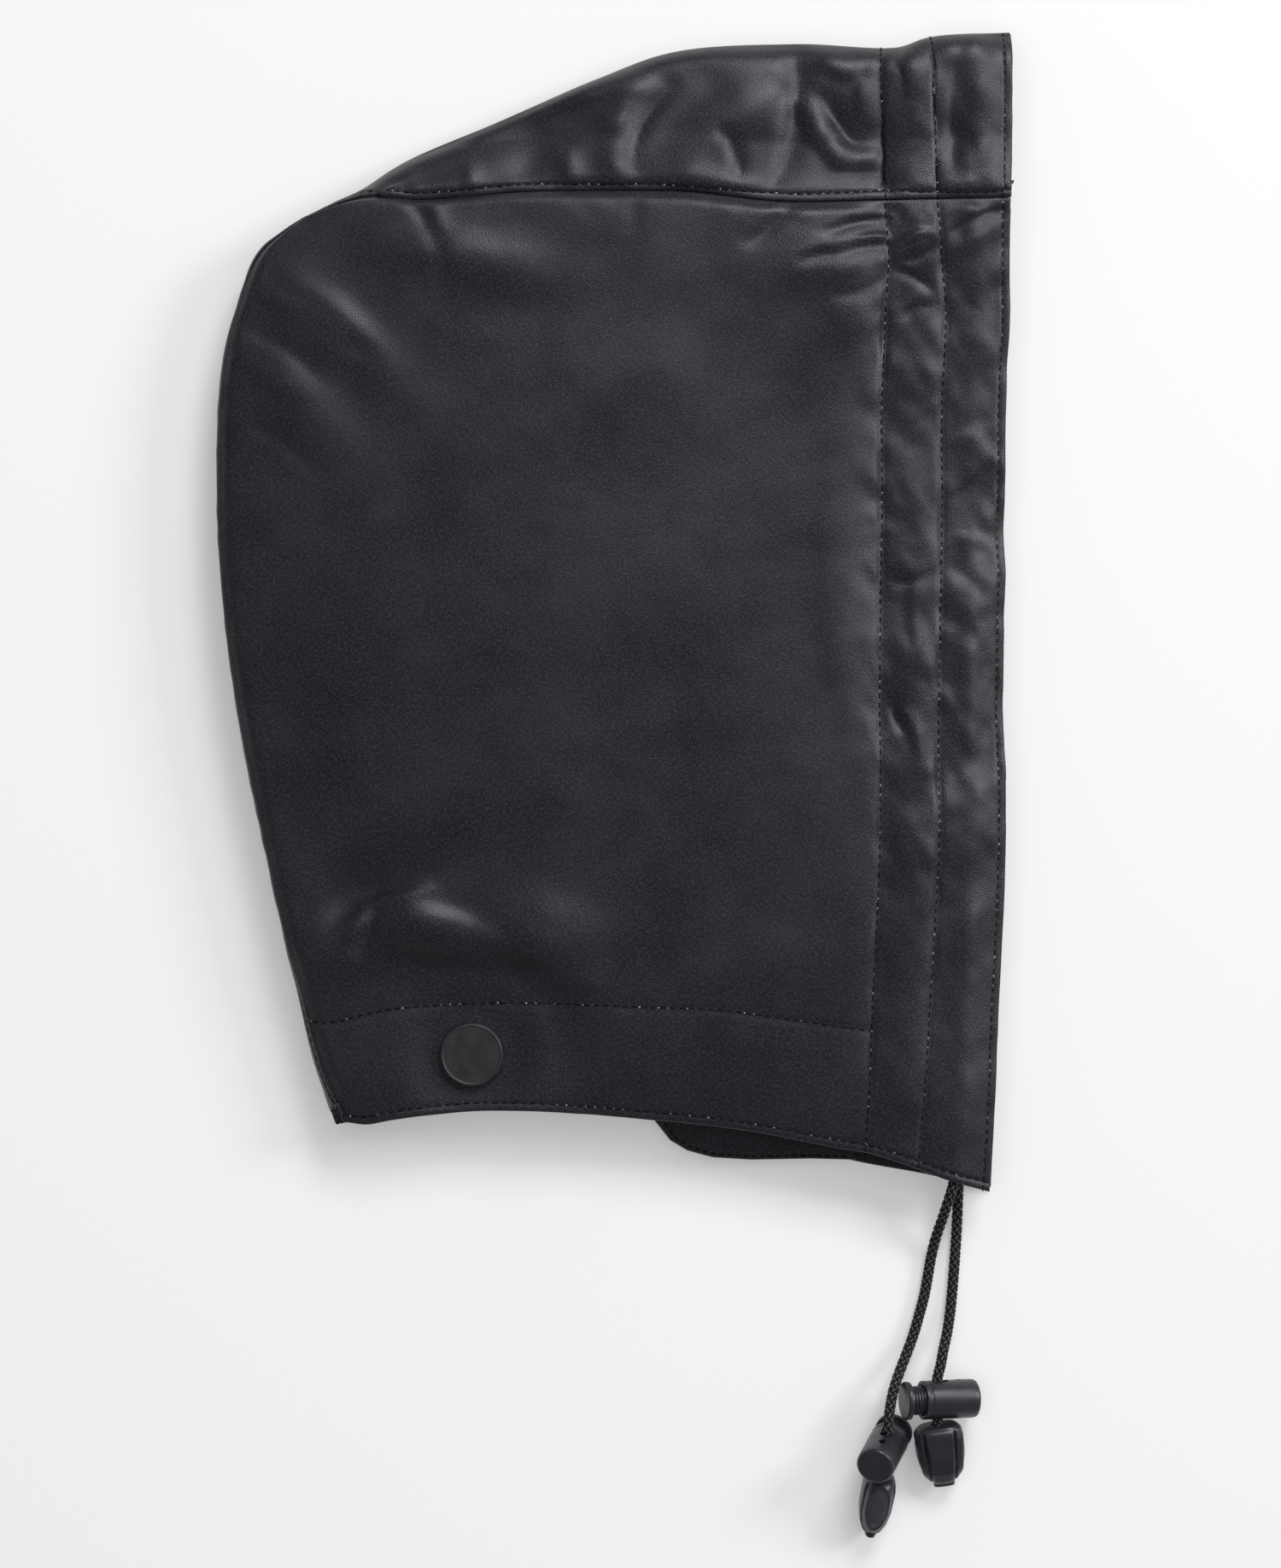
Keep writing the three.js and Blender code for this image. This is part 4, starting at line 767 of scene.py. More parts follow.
def make_object(name: str, points: Array, faces: Sequence, cut: Array | None = None,
                values: dict[str, Array] | None = None) -> Piece:
    """Makes an object of a closed mesh.

    Args:
        name: the piece's name.
        points: its points, in millimetres.
        faces: rows of point numbers.
        cut: place of each point on the flat piece, in millimetres, kept as a UV map.
        values: numbers to keep at each point, by name.

    Returns:
        The object, linked to the scene.
    """
    mesh = bpy.data.meshes.new(name)
    placed = (np.asarray(points, float) + CENTRING) * METRE
    mesh.from_pydata(placed.tolist(), [], faces.tolist() if isinstance(faces, np.ndarray) else list(faces))
    mesh.update()
    if signed_volume(mesh) < 0:
        mesh.flip_normals()
    mesh.shade_smooth()
    if cut is not None:
        corner = np.empty(len(mesh.loops), int)
        mesh.loops.foreach_get("vertex_index", corner)
        layer = mesh.uv_layers.new(name="cut")
        layer.data.foreach_set("uv", (np.asarray(cut)[corner] * METRE).ravel())
    for key, numbers in (values or {}).items():
        attribute = mesh.attributes.new(key, "FLOAT", "POINT")
        attribute.data.foreach_set("value", np.asarray(numbers, float))
    made = bpy.data.objects.new(name, mesh)
    bpy.context.collection.objects.link(made)
    return made


def signed_volume(mesh: bpy.types.Mesh) -> float:
    """Measures the room in a closed mesh.

    Args:
        mesh: the mesh.

    Returns:
        Six times its volume, below nothing where its faces point inwards.
    """
    mesh.calc_loop_triangles()
    corners = np.empty(len(mesh.loop_triangles) * 3, int)
    mesh.loop_triangles.foreach_get("vertices", corners)
    points = np.empty(len(mesh.vertices) * 3)
    mesh.vertices.foreach_get("co", points)
    a, b, c = points.reshape(-1, 3)[corners.reshape(-1, 3)].transpose(1, 0, 2)
    return float((a * np.cross(b, c)).sum())


def quads(columns: int, rows: int, first: int = 0) -> Array:
    """Numbers the faces of a grid whose points follow each other row by row."""
    index = first + np.arange(columns * rows).reshape(columns, rows)
    return np.stack([index[:-1, :-1], index[1:, :-1], index[1:, 1:], index[:-1, 1:]], -1).reshape(-1, 4)


def border(columns: int, rows: int) -> Array:
    """Numbers the points round a grid's border, once round."""
    index = np.arange(columns * rows).reshape(columns, rows)
    return np.concatenate([index[:-1, 0], index[-1, :-1], index[:0:-1, -1], index[0, :0:-1]])


def tube_faces(rings: int, sides: int) -> list:
    """Numbers the faces of a tube whose rings follow each other, with a cap on each end.

    Args:
        rings: number of its rings.
        sides: corners of each ring.

    Returns:
        Rows of point numbers.
    """
    index = np.arange(rings * sides).reshape(rings, sides)
    after = np.roll(index, -1, axis=1)
    faces = np.stack([index[:-1], index[1:], after[1:], after[:-1]], -1).reshape(-1, 4).tolist()
    return faces + [tuple(index[0]), tuple(index[-1][::-1])]


@dataclass(frozen=True)
class Rims:
    """How the sides of a sheet end, each in the order first column, last column, bottom row, top row."""

    rounding: tuple = (1, 1, 1, 1)
    back: tuple = (0, 0, 0, 0)


def side_push(grid: Array, amounts: Sequence[float]) -> Array:
    """Finds the moves that push the sides of a grid inwards along the cloth.

    Args:
        grid: points.
        amounts: how far the first column, last column, bottom row and top row go.

    Returns:
        One move for each point.
    """
    first, last, bottom, top = amounts
    push = np.zeros_like(grid)
    push[0] += unit(grid[1] - grid[0]) * first
    push[-1] += unit(grid[-2] - grid[-1]) * last
    push[:, 0] += unit(grid[:, 1] - grid[:, 0]) * bottom
    push[:, -1] += unit(grid[:, -2] - grid[:, -1]) * top
    return push


def cloth_piece(name: str, sheet: ClothSheet, outer_depth: Array | float, wall: float,
                rims: Rims) -> Piece:
    """Gives a sheet its wall and rounded rims.

    Args:
        name: the piece's name.
        sheet: the outside of the cloth that the piece follows.
        outer_depth: how deep its outer side lies below that, at each point.
        wall: its thickness.
        rims: how its sides are finished.

    Returns:
        The piece.
    """
    depth = np.broadcast_to(np.asarray(outer_depth, float), sheet.points.shape[:2])[..., None]
    outer, inner = (sheet.points + sheet.inward * deep for deep in (depth, depth + wall))
    outer, inner = (grid + side_push(grid, rims.back) for grid in (outer, inner))
    columns, rows = outer.shape[:2]
    count = columns * rows
    loop = border(columns, rows)
    flat_outer, flat_inner = outer.reshape(-1, 3), inner.reshape(-1, 3)
    bulge = -side_push(outer, rims.rounding).reshape(-1, 3)[loop] * wall / 2
    middle = (flat_outer[loop] + flat_inner[loop]) / 2
    half = (flat_outer[loop] - flat_inner[loop]) / 2
    angles = np.radians([40, 90, 140])
    rings = [middle + half * math.cos(angle) + bulge * math.sin(angle) for angle in angles]
    points = np.concatenate([flat_outer, flat_inner, *rings])
    faces = [quads(columns, rows), quads(columns, rows, count)[:, ::-1]]
    size = len(loop)
    bands = [loop] + [2 * count + size * ring + np.arange(size) for ring in range(3)] + [count + loop]
    for upper, lower in zip(bands, bands[1:]):
        faces.append(np.stack([upper, lower, np.roll(lower, -1), np.roll(upper, -1)], -1))
    rim = np.zeros(count)
    rim[loop] = 1
    cut, crest, rim = (
        np.concatenate([each, each] + [each[loop]] * 3)
        for each in (sheet.cut.reshape(-1, 2), sheet.crest.reshape(-1), rim)
    )
    return make_object(name, points, np.concatenate(faces), cut, {"crest": crest, "rim": rim})


def lathe(profile: Sequence[tuple[float, float]], sides: int) -> tuple[Array, list]:
    """Turns a profile round the Y axis.

    Args:
        profile: radius and height of each point, the first and last on the axis.
        sides: corners of each ring.

    Returns:
        Points and faces.
    """
    turn = np.linspace(0, 2 * math.pi, sides, endpoint=False)
    rings = [[(r * math.cos(a), y, r * math.sin(a)) for a in turn] for r, y in profile[1:-1]]
    points = [(0.0, profile[0][1], 0.0)]
    points += [point for ring in rings for point in ring] + [(0.0, profile[-1][1], 0.0)]
    last = len(points) - 1
    faces = []
    for side in range(sides):
        following = (side + 1) % sides
        faces.append((0, 1 + side, 1 + following))
        for ring in range(len(rings) - 1):
            a, b = 1 + ring * sides, 1 + (ring + 1) * sides
            faces.append((a + side, b + side, b + following, a + following))
        end = 1 + (len(rings) - 1) * sides
        faces.append((last, end + following, end + side))
    return np.array(points), faces


def rounded(corners: Sequence[tuple[float, float, float]], steps: int = 5) -> list[tuple[float, float]]:
    """Rounds the corners of a profile.

    Args:
        corners: x, y and radius of each corner; the ends have none.
        steps: points in each rounding.

    Returns:
        The profile's points.
    """
    profile = []
    for index, (x, y, radius) in enumerate(corners):
        if radius <= 0 or index in (0, len(corners) - 1):
            profile.append((x, y))
            continue
        here = np.array([x, y])
        before = unit(np.array(corners[index - 1][:2]) - here)
        after = unit(np.array(corners[index + 1][:2]) - here)
        for share in np.linspace(0, 1, steps):
            start, end = here + before * radius, here + after * radius
            point = lerp(lerp(start, here, share), lerp(here, end, share), share)
            profile.append((float(point[0]), float(point[1])))
    return profile


@dataclass(frozen=True)
class Pose:
    """Where a small piece stands: its origin and the directions of its own X, Y and Z."""

    origin: Array
    side: Array
    up: Array
    through: Array

    def put(self, points: Array) -> Array:
        """Moves points from the piece's own frame to the hood's."""
        return self.origin + points @ np.stack([self.side, self.up, self.through])


def carve(piece: Piece, cutters: Sequence[Piece],
          sharp: float = SHARP_LOCK) -> Piece:
    """Cuts shapes out of a piece.

    Args:
        piece: the solid piece.
        cutters: solids to take away, which are removed afterwards.
        sharp: angle in degrees above which an edge stays crisp.

    Returns:
        The piece with a plain mesh.
    """
    for cutter in cutters:
        modifier = piece.modifiers.new("cut", "BOOLEAN")
        modifier.operation = "DIFFERENCE"
        modifier.solver = "EXACT"
        modifier.object = cutter
    mesh = bpy.data.meshes.new_from_object(piece.evaluated_get(bpy.context.evaluated_depsgraph_get()))
    piece.modifiers.clear()
    piece.data = mesh
    mesh.name = piece.name
    mesh.shade_smooth()
    mesh.set_sharp_from_angle(angle=math.radians(sharp))
    for cutter in cutters:
        bpy.data.objects.remove(cutter)
    return piece


# Finishes

# Numbers of the colour sockets of a Mix node, and of the number sockets of a Random Value node
MIX_FIRST, MIX_SECOND, MIX_RESULT = 6, 7, 2
RANDOM_MIN, RANDOM_MAX, RANDOM_NUMBER, RANDOM_CHOICE = 2, 3, 1, 3

MOULDED_BLACK = (0.0115, 0.01, 0.0132)


def feed(tree: Tree, socket: Socket, value: object) -> None:
    """Gives an input its value, or links it where that is another node's socket.

    Args:
        tree: the tree that both are in.
        socket: the input.
        value: a plain value or an output.
    """
    if isinstance(value, Socket):
        tree.links.new(value, socket)
    else:
        socket.default_value = value


def node(tree: Tree, kind: str, inputs: dict | None = None,
         **settings: object) -> bpy.types.Node:
    """Adds a node.

    Args:
        tree: where it goes.
        kind: its type's name.
        inputs: values or sockets for its inputs, by name or number.
        settings: its other settings.

    Returns:
        The node.
    """
    made = tree.nodes.new(kind)
    for key, value in settings.items():
        setattr(made, key, value)
    for key, value in (inputs or {}).items():
        feed(tree, made.inputs[key], value)
    return made


def shader_group(name: str, inputs: dict[str, tuple[str, float]], outputs: Sequence[str]) -> tuple:
    """Starts a shader node group.

    Args:
        name: its name.
        inputs: socket type and value of each input.
        outputs: names of its outputs, all numbers.

    Returns:
        The tree, its input node and its output node.
    """
    tree = bpy.data.node_groups.new(name, "ShaderNodeTree")
    for key, (kind, value) in inputs.items():
        socket = tree.interface.new_socket(key, in_out="INPUT", socket_type=kind)
        if kind == "NodeSocketFloat":
            socket.default_value = value
    for key in outputs:
        tree.interface.new_socket(key, in_out="OUTPUT", socket_type="NodeSocketFloat")
    return tree, tree.nodes.new("NodeGroupInput"), tree.nodes.new("NodeGroupOutput")


def maths(tree: Tree, operation: str, first: object, second: object = 0.0,
          third: object = 0.0) -> Socket:
    """Adds a sum of numbers or sockets and gives its result."""
    inputs = {0: first, 1: second} if operation != "MULTIPLY_ADD" else {0: first, 1: second, 2: third}
    return node(tree, "ShaderNodeMath", inputs, operation=operation).outputs[0]


class SharedEffects:
    """Shader groups that several finishes use."""

    def __init__(self) -> None:
        """Builds the groups once."""
        self.weave = self.build_weave()
        self.mottle = self.build_mottle()

    def build_weave(self) -> Tree:
        """Builds plain weave: threads both ways, uneven as spun yarn.

        Returns:
            The group.
        """
        tree, into, out = shader_group(
            "plain_weave", {"Vector": ("NodeSocketVector", 0), "Threads": ("NodeSocketFloat", 1800.0)},
            ("Height", "Slub"),
        )
        u, v, _ = node(tree, "ShaderNodeSeparateXYZ", {0: into.outputs["Vector"]}).outputs
        count = maths(tree, "MULTIPLY", into.outputs["Threads"], math.pi)
        warp, weft = (maths(tree, "SINE", maths(tree, "MULTIPLY", each, count)) for each in (u, v))
        heights = []
        for stretch in ((1.0, 0.45, 1.0), (0.45, 1.0, 1.0)):
            turned = node(tree, "ShaderNodeMapping", {"Vector": into.outputs["Vector"], "Scale": stretch})
            threads = node(tree, "ShaderNodeTexNoise", {
                "Vector": turned.outputs[0], "Scale": into.outputs["Threads"], "Detail": 1.5,
                "Roughness": 0.6,
            })
            heights.append(threads.outputs[0])
        both = maths(tree, "MULTIPLY_ADD", heights[0], 0.5, maths(tree, "MULTIPLY", heights[1], 0.5))
        woven = maths(tree, "MULTIPLY_ADD", maths(tree, "MULTIPLY", warp, weft), 0.12, both)
        slub = node(tree, "ShaderNodeMapRange", {"Value": both, "From Min": 0.47, "From Max": 0.6})
        tree.links.new(woven, out.inputs["Height"])
        tree.links.new(slub.outputs[0], out.inputs["Slub"])
        return tree

    def build_mottle(self) -> Tree:
        """Builds the uneven spread of wax or handling marks over a surface.

        Returns:
            The group.
        """
        tree, into, out = shader_group(
            "mottle", {"Vector": ("NodeSocketVector", 0), "Patches": ("NodeSocketFloat", 30.0)}, ("Mask",),
        )
        broad = node(tree, "ShaderNodeTexNoise", {
            "Vector": into.outputs["Vector"], "Scale": into.outputs["Patches"], "Detail": 5.0,
            "Roughness": 0.62,
        })
        mask = node(tree, "ShaderNodeMapRange", {
            "Value": broad.outputs[0], "From Min": 0.32, "From Max": 0.68,
        })
        tree.links.new(mask.outputs[0], out.inputs["Mask"])
        return tree


class Finish:
    """Base of the finishes: one material with its Principled shader."""

    def __init__(self, name: str) -> None:
        """Starts the material.

        Args:
            name: the material's name.
        """
        self.material = bpy.data.materials.new(name)
        self.material.use_nodes = True
        self.tree = self.material.node_tree
        self.shader = self.tree.nodes["Principled BSDF"]

    def set(self, **values: object) -> None:
        """Sets or links the shader's sockets, whose names have _ for each space."""
        for key, value in values.items():
            feed(self.tree, self.shader.inputs[key.replace("_", " ")], value)

    def group(self, group: Tree, inputs: dict) -> bpy.types.Node:
        """Places a shared group in the material."""
        return node(self.tree, "ShaderNodeGroup", inputs, node_tree=group)

    def ramp(self, factor: Socket, low: Sequence[float],
             high: Sequence[float]) -> Socket:
        """Blends two colours by a factor."""
        colours = {0: factor, MIX_FIRST: (*low, 1), MIX_SECOND: (*high, 1)}
        return node(self.tree, "ShaderNodeMix", colours, data_type="RGBA").outputs[MIX_RESULT]

    def place(self) -> Socket:
        """Reads the place on the piece, in its own frame."""
        return node(self.tree, "ShaderNodeTexCoord").outputs["Object"]

    def scaled(self, number: Socket, scale: float, added: object) -> Socket:
        """Scales a number and adds another."""
        return maths(self.tree, "MULTIPLY_ADD", number, scale, added)

    def value(self, name: str) -> Socket:
        """Reads a number kept at the mesh's points."""
        return node(self.tree, "ShaderNodeAttribute", attribute_name=name).outputs["Fac"]

    def relief(self, height: Socket, distance: float, strength: float) -> Socket:
        """Turns a height into a shading normal."""
        inputs = {"Height": height, "Distance": distance, "Strength": strength}
        return node(self.tree, "ShaderNodeBump", inputs).outputs[0]


class WaxedCotton(Finish):
    """Dark waxed cotton: a fine weave, a satin bloom of wax and paler wear on what stands proud."""

    def __init__(self, name: str, shared: SharedEffects, deep: Sequence[float], pale: Sequence[float],
                 roughness: float, wear_and_painted_sheen: float) -> None:
        """Builds the material.

        Args:
            name: its name.
            shared: the shared groups.
            deep: colour between the threads.
            pale: colour on the threads.
            roughness: how matt the wax is.
            wear_and_painted_sheen: how much paler rims and crests are.
        """
        super().__init__(name)
        uv = node(self.tree, "ShaderNodeUVMap", uv_map="cut").outputs[0]
        weave = self.group(shared.weave, {"Vector": uv, "Threads": 2100.0})
        wax = self.group(shared.mottle, {"Vector": uv, "Patches": 26.0})
        crest = node(self.tree, "ShaderNodeMapRange", {
            "Value": self.value("crest"), "From Min": 0.3, "From Max": 2.4, "To Max": wear_and_painted_sheen,
        }).outputs[0]
        rim = maths(self.tree, "MULTIPLY", self.value("rim"), wear_and_painted_sheen)
        wear = maths(self.tree, "MAXIMUM", crest, rim)
        shade = self.scaled(weave.outputs["Slub"], 0.8, self.scaled(wax.outputs["Mask"], 0.25, wear))
        self.set(
            Base_Color=self.ramp(shade, deep, pale),
            Roughness=self.scaled(wax.outputs["Mask"], 0.12, roughness),
            Normal=self.relief(weave.outputs["Height"], 0.00022, 0.6),
            Sheen_Weight=0.03, Sheen_Roughness=0.45,
            Specular_IOR_Level=0.5, Specular_Tint=(0.97, 0.93, 1, 1),
        )


class BraidedCordFinish(Finish):
    """Dull polyester braid, its colour darker between the strands as painted shade."""

    def __init__(self, shared: SharedEffects) -> None:
        """Builds the material.

        Args:
            shared: the shared groups.
        """
        super().__init__("braided_cord")
        where = self.place()
        fibre = self.group(shared.weave, {"Vector": where, "Threads": 5200.0})
        strand = self.value("strand")
        proud = maths(self.tree, "POWER", strand, 3.0)
        # Painted shade: the colour falls towards black in the grooves between the strands and is lighter on
        # their tops.
        shade = self.scaled(fibre.outputs["Slub"], 0.12, proud)
        self.set(
            Base_Color=self.ramp(shade, (0.0002, 0.0002, 0.0003), (0.07, 0.066, 0.075)),
            Roughness=self.scaled(proud, -0.4, 0.9), Specular_IOR_Level=0.25,
            Normal=self.relief(fibre.outputs["Height"], 0.0001, 0.5), Sheen_Weight=0.05, Sheen_Roughness=0.4,
        )


class MouldedPlastic(Finish):
    """Black moulded plastic with a fine satin grain, and a painted reflection where a piece marks its inset
    faces.
    """

    def __init__(self, name: str, shared: SharedEffects, colour: Sequence[float], roughness: float) -> None:
        """Builds the material.

        Args:
            name: its name.
            shared: the shared groups.
            colour: its colour.
            roughness: how matt it is.
        """
        super().__init__(name)
        where = self.place()
        grain = self.group(shared.mottle, {"Vector": where, "Patches": 900.0})
        marks = self.group(shared.mottle, {"Vector": where, "Patches": 160.0})
        paler = tuple(part * 3 + 0.004 for part in colour)
        # The mark read from the mesh is a painted reflection that makes the cord ends' inset faces paler;
        # the other marks are random tone.
        shade = self.scaled(marks.outputs["Mask"], 0.22, self.value("wear_and_painted_sheen"))
        self.set(
            Base_Color=self.ramp(shade, colour, paler), Specular_Tint=(0.95, 0.9, 1, 1),
            Roughness=self.scaled(marks.outputs["Mask"], 0.14, roughness),
            Normal=self.relief(grain.outputs["Mask"], 0.00005, 0.35), Specular_IOR_Level=0.6,
        )


class StudMetal(Finish):
    """Metal of the press studs, either black lacquer over it or bare and brushed."""

    def __init__(self, name: str, shared: SharedEffects, colour: Sequence[float], metallic: float,
                 roughness: float) -> None:
        """Builds the material.

        Args:
            name: its name.
            shared: the shared groups.
            colour: its colour.
            metallic: 1 for bare metal.
            roughness: how matt it is.
        """
        super().__init__(name)
        where = self.place()
        marks = self.group(shared.mottle, {"Vector": where, "Patches": 220.0})
        grain = self.group(shared.mottle, {"Vector": where, "Patches": 1400.0})
        paler = tuple(part * 1.5 + 0.003 for part in colour)
        self.set(
            Base_Color=self.ramp(marks.outputs["Mask"], colour, paler), Metallic=metallic,
            Roughness=self.scaled(marks.outputs["Mask"], 0.1, roughness),
            Normal=self.relief(grain.outputs["Mask"], 0.00003, 0.3),
        )


class Thread(Finish):
    """Sewing thread, each stitch a little lighter or darker."""

    def __init__(self, name: str, dark: Sequence[float], light: Sequence[float]) -> None:
        """Builds the material.

        Args:
            name: its name.
            dark: colour of the darkest stitch.
            light: colour of the lightest stitch.
        """
        super().__init__(name)
        shade = self.ramp(self.value("shade"), dark, light)
        self.set(Base_Color=shade, Roughness=0.7, Specular_IOR_Level=0.15)


class Wardrobe:
    """All the finishes."""

    def __init__(self) -> None:
        """Builds each finish once."""
        shared = SharedEffects()
        self.cotton = WaxedCotton(
            "waxed_cotton_look", shared, deep=(0.0004, 0.0002, 0.0008), pale=(0.0188, 0.0165, 0.0225),
            roughness=0.38, wear_and_painted_sheen=0.06)
        self.facing = WaxedCotton(
            "facing_cotton_look", shared, deep=(0.004, 0.003, 0.0045), pale=(0.018, 0.0155, 0.02),
            roughness=0.55, wear_and_painted_sheen=0.2)
        self.cord = BraidedCordFinish(shared)
        self.lock = MouldedPlastic("lock_plastic_look", shared, MOULDED_BLACK, roughness=0.3)
        self.cord_end = MouldedPlastic("end_plastic_look", shared, MOULDED_BLACK, roughness=0.3)
        self.stud = StudMetal(
            "stud_black_look", shared, (0.015, 0.0138, 0.0165), metallic=0.25, roughness=0.38)
        self.steel = StudMetal(
            "stud_metal_look", shared, (0.11, 0.11, 0.115), metallic=1.0, roughness=0.3)
        self.thread = Thread("thread_look", (0.0006, 0.0006, 0.0008), (0.005, 0.005, 0.006))
        self.needle_hole = Thread("needle_hole_look", (0.10, 0.10, 0.105), (0.4, 0.4, 0.41))


def dress(piece: Piece, finish: Finish) -> None:
    """Puts one finish on a whole piece."""
    piece.data.materials.clear()
    piece.data.materials.append(finish.material)


def stand_in(piece: Piece, finish: Finish, body: str, replaced: str) -> Piece:
    """Dresses a piece, ties it to its body and hides the node of the frame that it replaces.

    Args:
        piece: the piece.
        finish: its look.
        body: the body that it moves with.
        replaced: the node that it replaces.

    Returns:
        The piece.
    """
    dress(piece, finish)
    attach(piece, body)
    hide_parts(replaced)
    return piece


# Sewing


class SewnInput(Enum):
    """Named inputs of the sewing tree."""

    PITCH = "Pitch"
    LENGTH = "Length"
    WIDTH = "Width"
    HEIGHT = "Height"
    SHIFT = "Shift"
    SHARE = "Share"
    SEED = "Seed"
    MATERIAL = "Material"


SOCKET_KINDS = {SewnInput.SEED: "NodeSocketInt", SewnInput.MATERIAL: "NodeSocketMaterial"}


@dataclass(frozen=True)
class Stitching:
    """Sizes of one kind of stitch, in millimetres."""

    pitch: float = 2.9
    length: float = 2.15
    width: float = 0.66
    height: float = 0.4
    shift: float = 0.0
    share: float = 1.0
    seed: int = 3


class SewingTree:
    """Geometry Nodes that lay stitches along lines, each turned to the cloth under it."""

    def __init__(self) -> None:
        """Builds the tree."""
        tree = bpy.data.node_groups.new("sewing", "GeometryNodeTree")
        self.tree = tree
        tree.interface.new_socket("Geometry", in_out="INPUT", socket_type="NodeSocketGeometry")
        self.sockets = {}
        for each in SewnInput:
            kind = SOCKET_KINDS.get(each, "NodeSocketFloat")
            socket = tree.interface.new_socket(each.value, in_out="INPUT", socket_type=kind)
            self.sockets[each] = socket.identifier
        tree.interface.new_socket("Geometry", in_out="OUTPUT", socket_type="NodeSocketGeometry")
        into = tree.nodes.new("NodeGroupInput").outputs
        line = node(tree, "GeometryNodeMeshToCurve", {"Mesh": into["Geometry"]})
        even = node(tree, "GeometryNodeResampleCurve", {
            "Curve": line.outputs[0], "Length": into["Pitch"]}, mode="LENGTH")
        spots = node(tree, "GeometryNodeCurveToPoints", {"Curve": even.outputs[0]}, mode="EVALUATED")
        lean = node(tree, "GeometryNodeInputNamedAttribute", {"Name": "lean"}, data_type="FLOAT_VECTOR")
        turned = node(tree, "FunctionNodeAxesToRotation", {
            0: lean.outputs[0], 1: spots.outputs["Tangent"]}, primary_axis="Z", secondary_axis="X")
        ball = node(tree, "GeometryNodeMeshUVSphere", {"Segments": 8, "Rings": 6, "Radius": 0.5})
        size = node(tree, "ShaderNodeCombineXYZ", {0: into["Length"], 1: into["Width"], 2: into["Height"]})
        stitch = node(tree, "GeometryNodeTransform", {"Geometry": ball.outputs[0], "Scale": size.outputs[0]})
        keep = node(tree, "FunctionNodeRandomValue", {"Probability": into["Share"], "Seed": into["Seed"]},
                    data_type="BOOLEAN")
        laid = node(tree, "GeometryNodeInstanceOnPoints", {
            "Points": spots.outputs["Points"], "Instance": stitch.outputs[0], "Rotation": turned.outputs[0],
            "Selection": keep.outputs[RANDOM_CHOICE]})
        off = node(tree, "ShaderNodeCombineXYZ", {0: into["Shift"]})
        moved = node(tree, "GeometryNodeTranslateInstances", {
            "Instances": laid.outputs[0], "Translation": off.outputs[0], "Local Space": True})
        other = node(tree, "ShaderNodeMath", {0: into["Seed"], 1: 17.0}, operation="ADD")
        size_range = node(tree, "FunctionNodeRandomValue", {
            RANDOM_MIN: 0.84, RANDOM_MAX: 1.08, "Seed": other.outputs[0]}, data_type="FLOAT")
        scaled = node(tree, "GeometryNodeScaleInstances", {
            "Instances": moved.outputs[0], "Scale": size_range.outputs[RANDOM_NUMBER], "Local Space": True})
        shade = node(tree, "FunctionNodeRandomValue", {
            RANDOM_MIN: 0.0, RANDOM_MAX: 1.0, "Seed": into["Seed"]}, data_type="FLOAT")
        marked = node(tree, "GeometryNodeStoreNamedAttribute", {
            "Geometry": scaled.outputs[0], "Name": "shade", "Value": shade.outputs[RANDOM_NUMBER]},
            data_type="FLOAT", domain="INSTANCE")
        real = node(tree, "GeometryNodeRealizeInstances", {"Geometry": marked.outputs[0]})
        smooth = node(tree, "GeometryNodeSetShadeSmooth", {0: real.outputs[0]})
        finish = node(tree, "GeometryNodeSetMaterial", {
            "Geometry": smooth.outputs[0], "Material": into["Material"]})
        node(tree, "NodeGroupOutput", {"Geometry": finish.outputs[0]})

    def sew(self, name: str, lines: Sequence[tuple[Array, Array]], kind: Stitching,
            finish: Finish) -> Piece:
        """Sews stitches along lines.

        Args:
            name: the piece's name.
            lines: points and outward directions of each line.
            kind: sizes of the stitches.
            finish: the thread.

        Returns:
            The stitches as one plain mesh.
        """
        points = np.concatenate([line for line, _ in lines])
        leans = np.concatenate([lean for _, lean in lines])
        edges, start = [], 0
        for line, _ in lines:
            edges += [(start + i, start + i + 1) for i in range(len(line) - 1)]
            start += len(line)
        mesh = bpy.data.meshes.new(name)
        mesh.from_pydata(((points + CENTRING) * METRE).tolist(), edges, [])
        mesh.attributes.new("lean", "FLOAT_VECTOR", "POINT").data.foreach_set("vector", leans.ravel())
        guide = bpy.data.objects.new(name, mesh)
        bpy.context.collection.objects.link(guide)
        modifier = guide.modifiers.new("sewing", "NODES")
        modifier.node_group = self.tree
        for key in (SewnInput.PITCH, SewnInput.LENGTH, SewnInput.WIDTH, SewnInput.HEIGHT, SewnInput.SHIFT):
            modifier[self.sockets[key]] = getattr(kind, key.value.lower()) * METRE
        modifier[self.sockets[SewnInput.SHARE]] = kind.share
        modifier[self.sockets[SewnInput.SEED]] = kind.seed
        modifier[self.sockets[SewnInput.MATERIAL]] = finish.material
        made = bpy.data.meshes.new_from_object(guide.evaluated_get(bpy.context.evaluated_depsgraph_get()))
        guide.modifiers.clear()
        guide.data = made
        made.name = name
        return guide


# Sub-assemblies


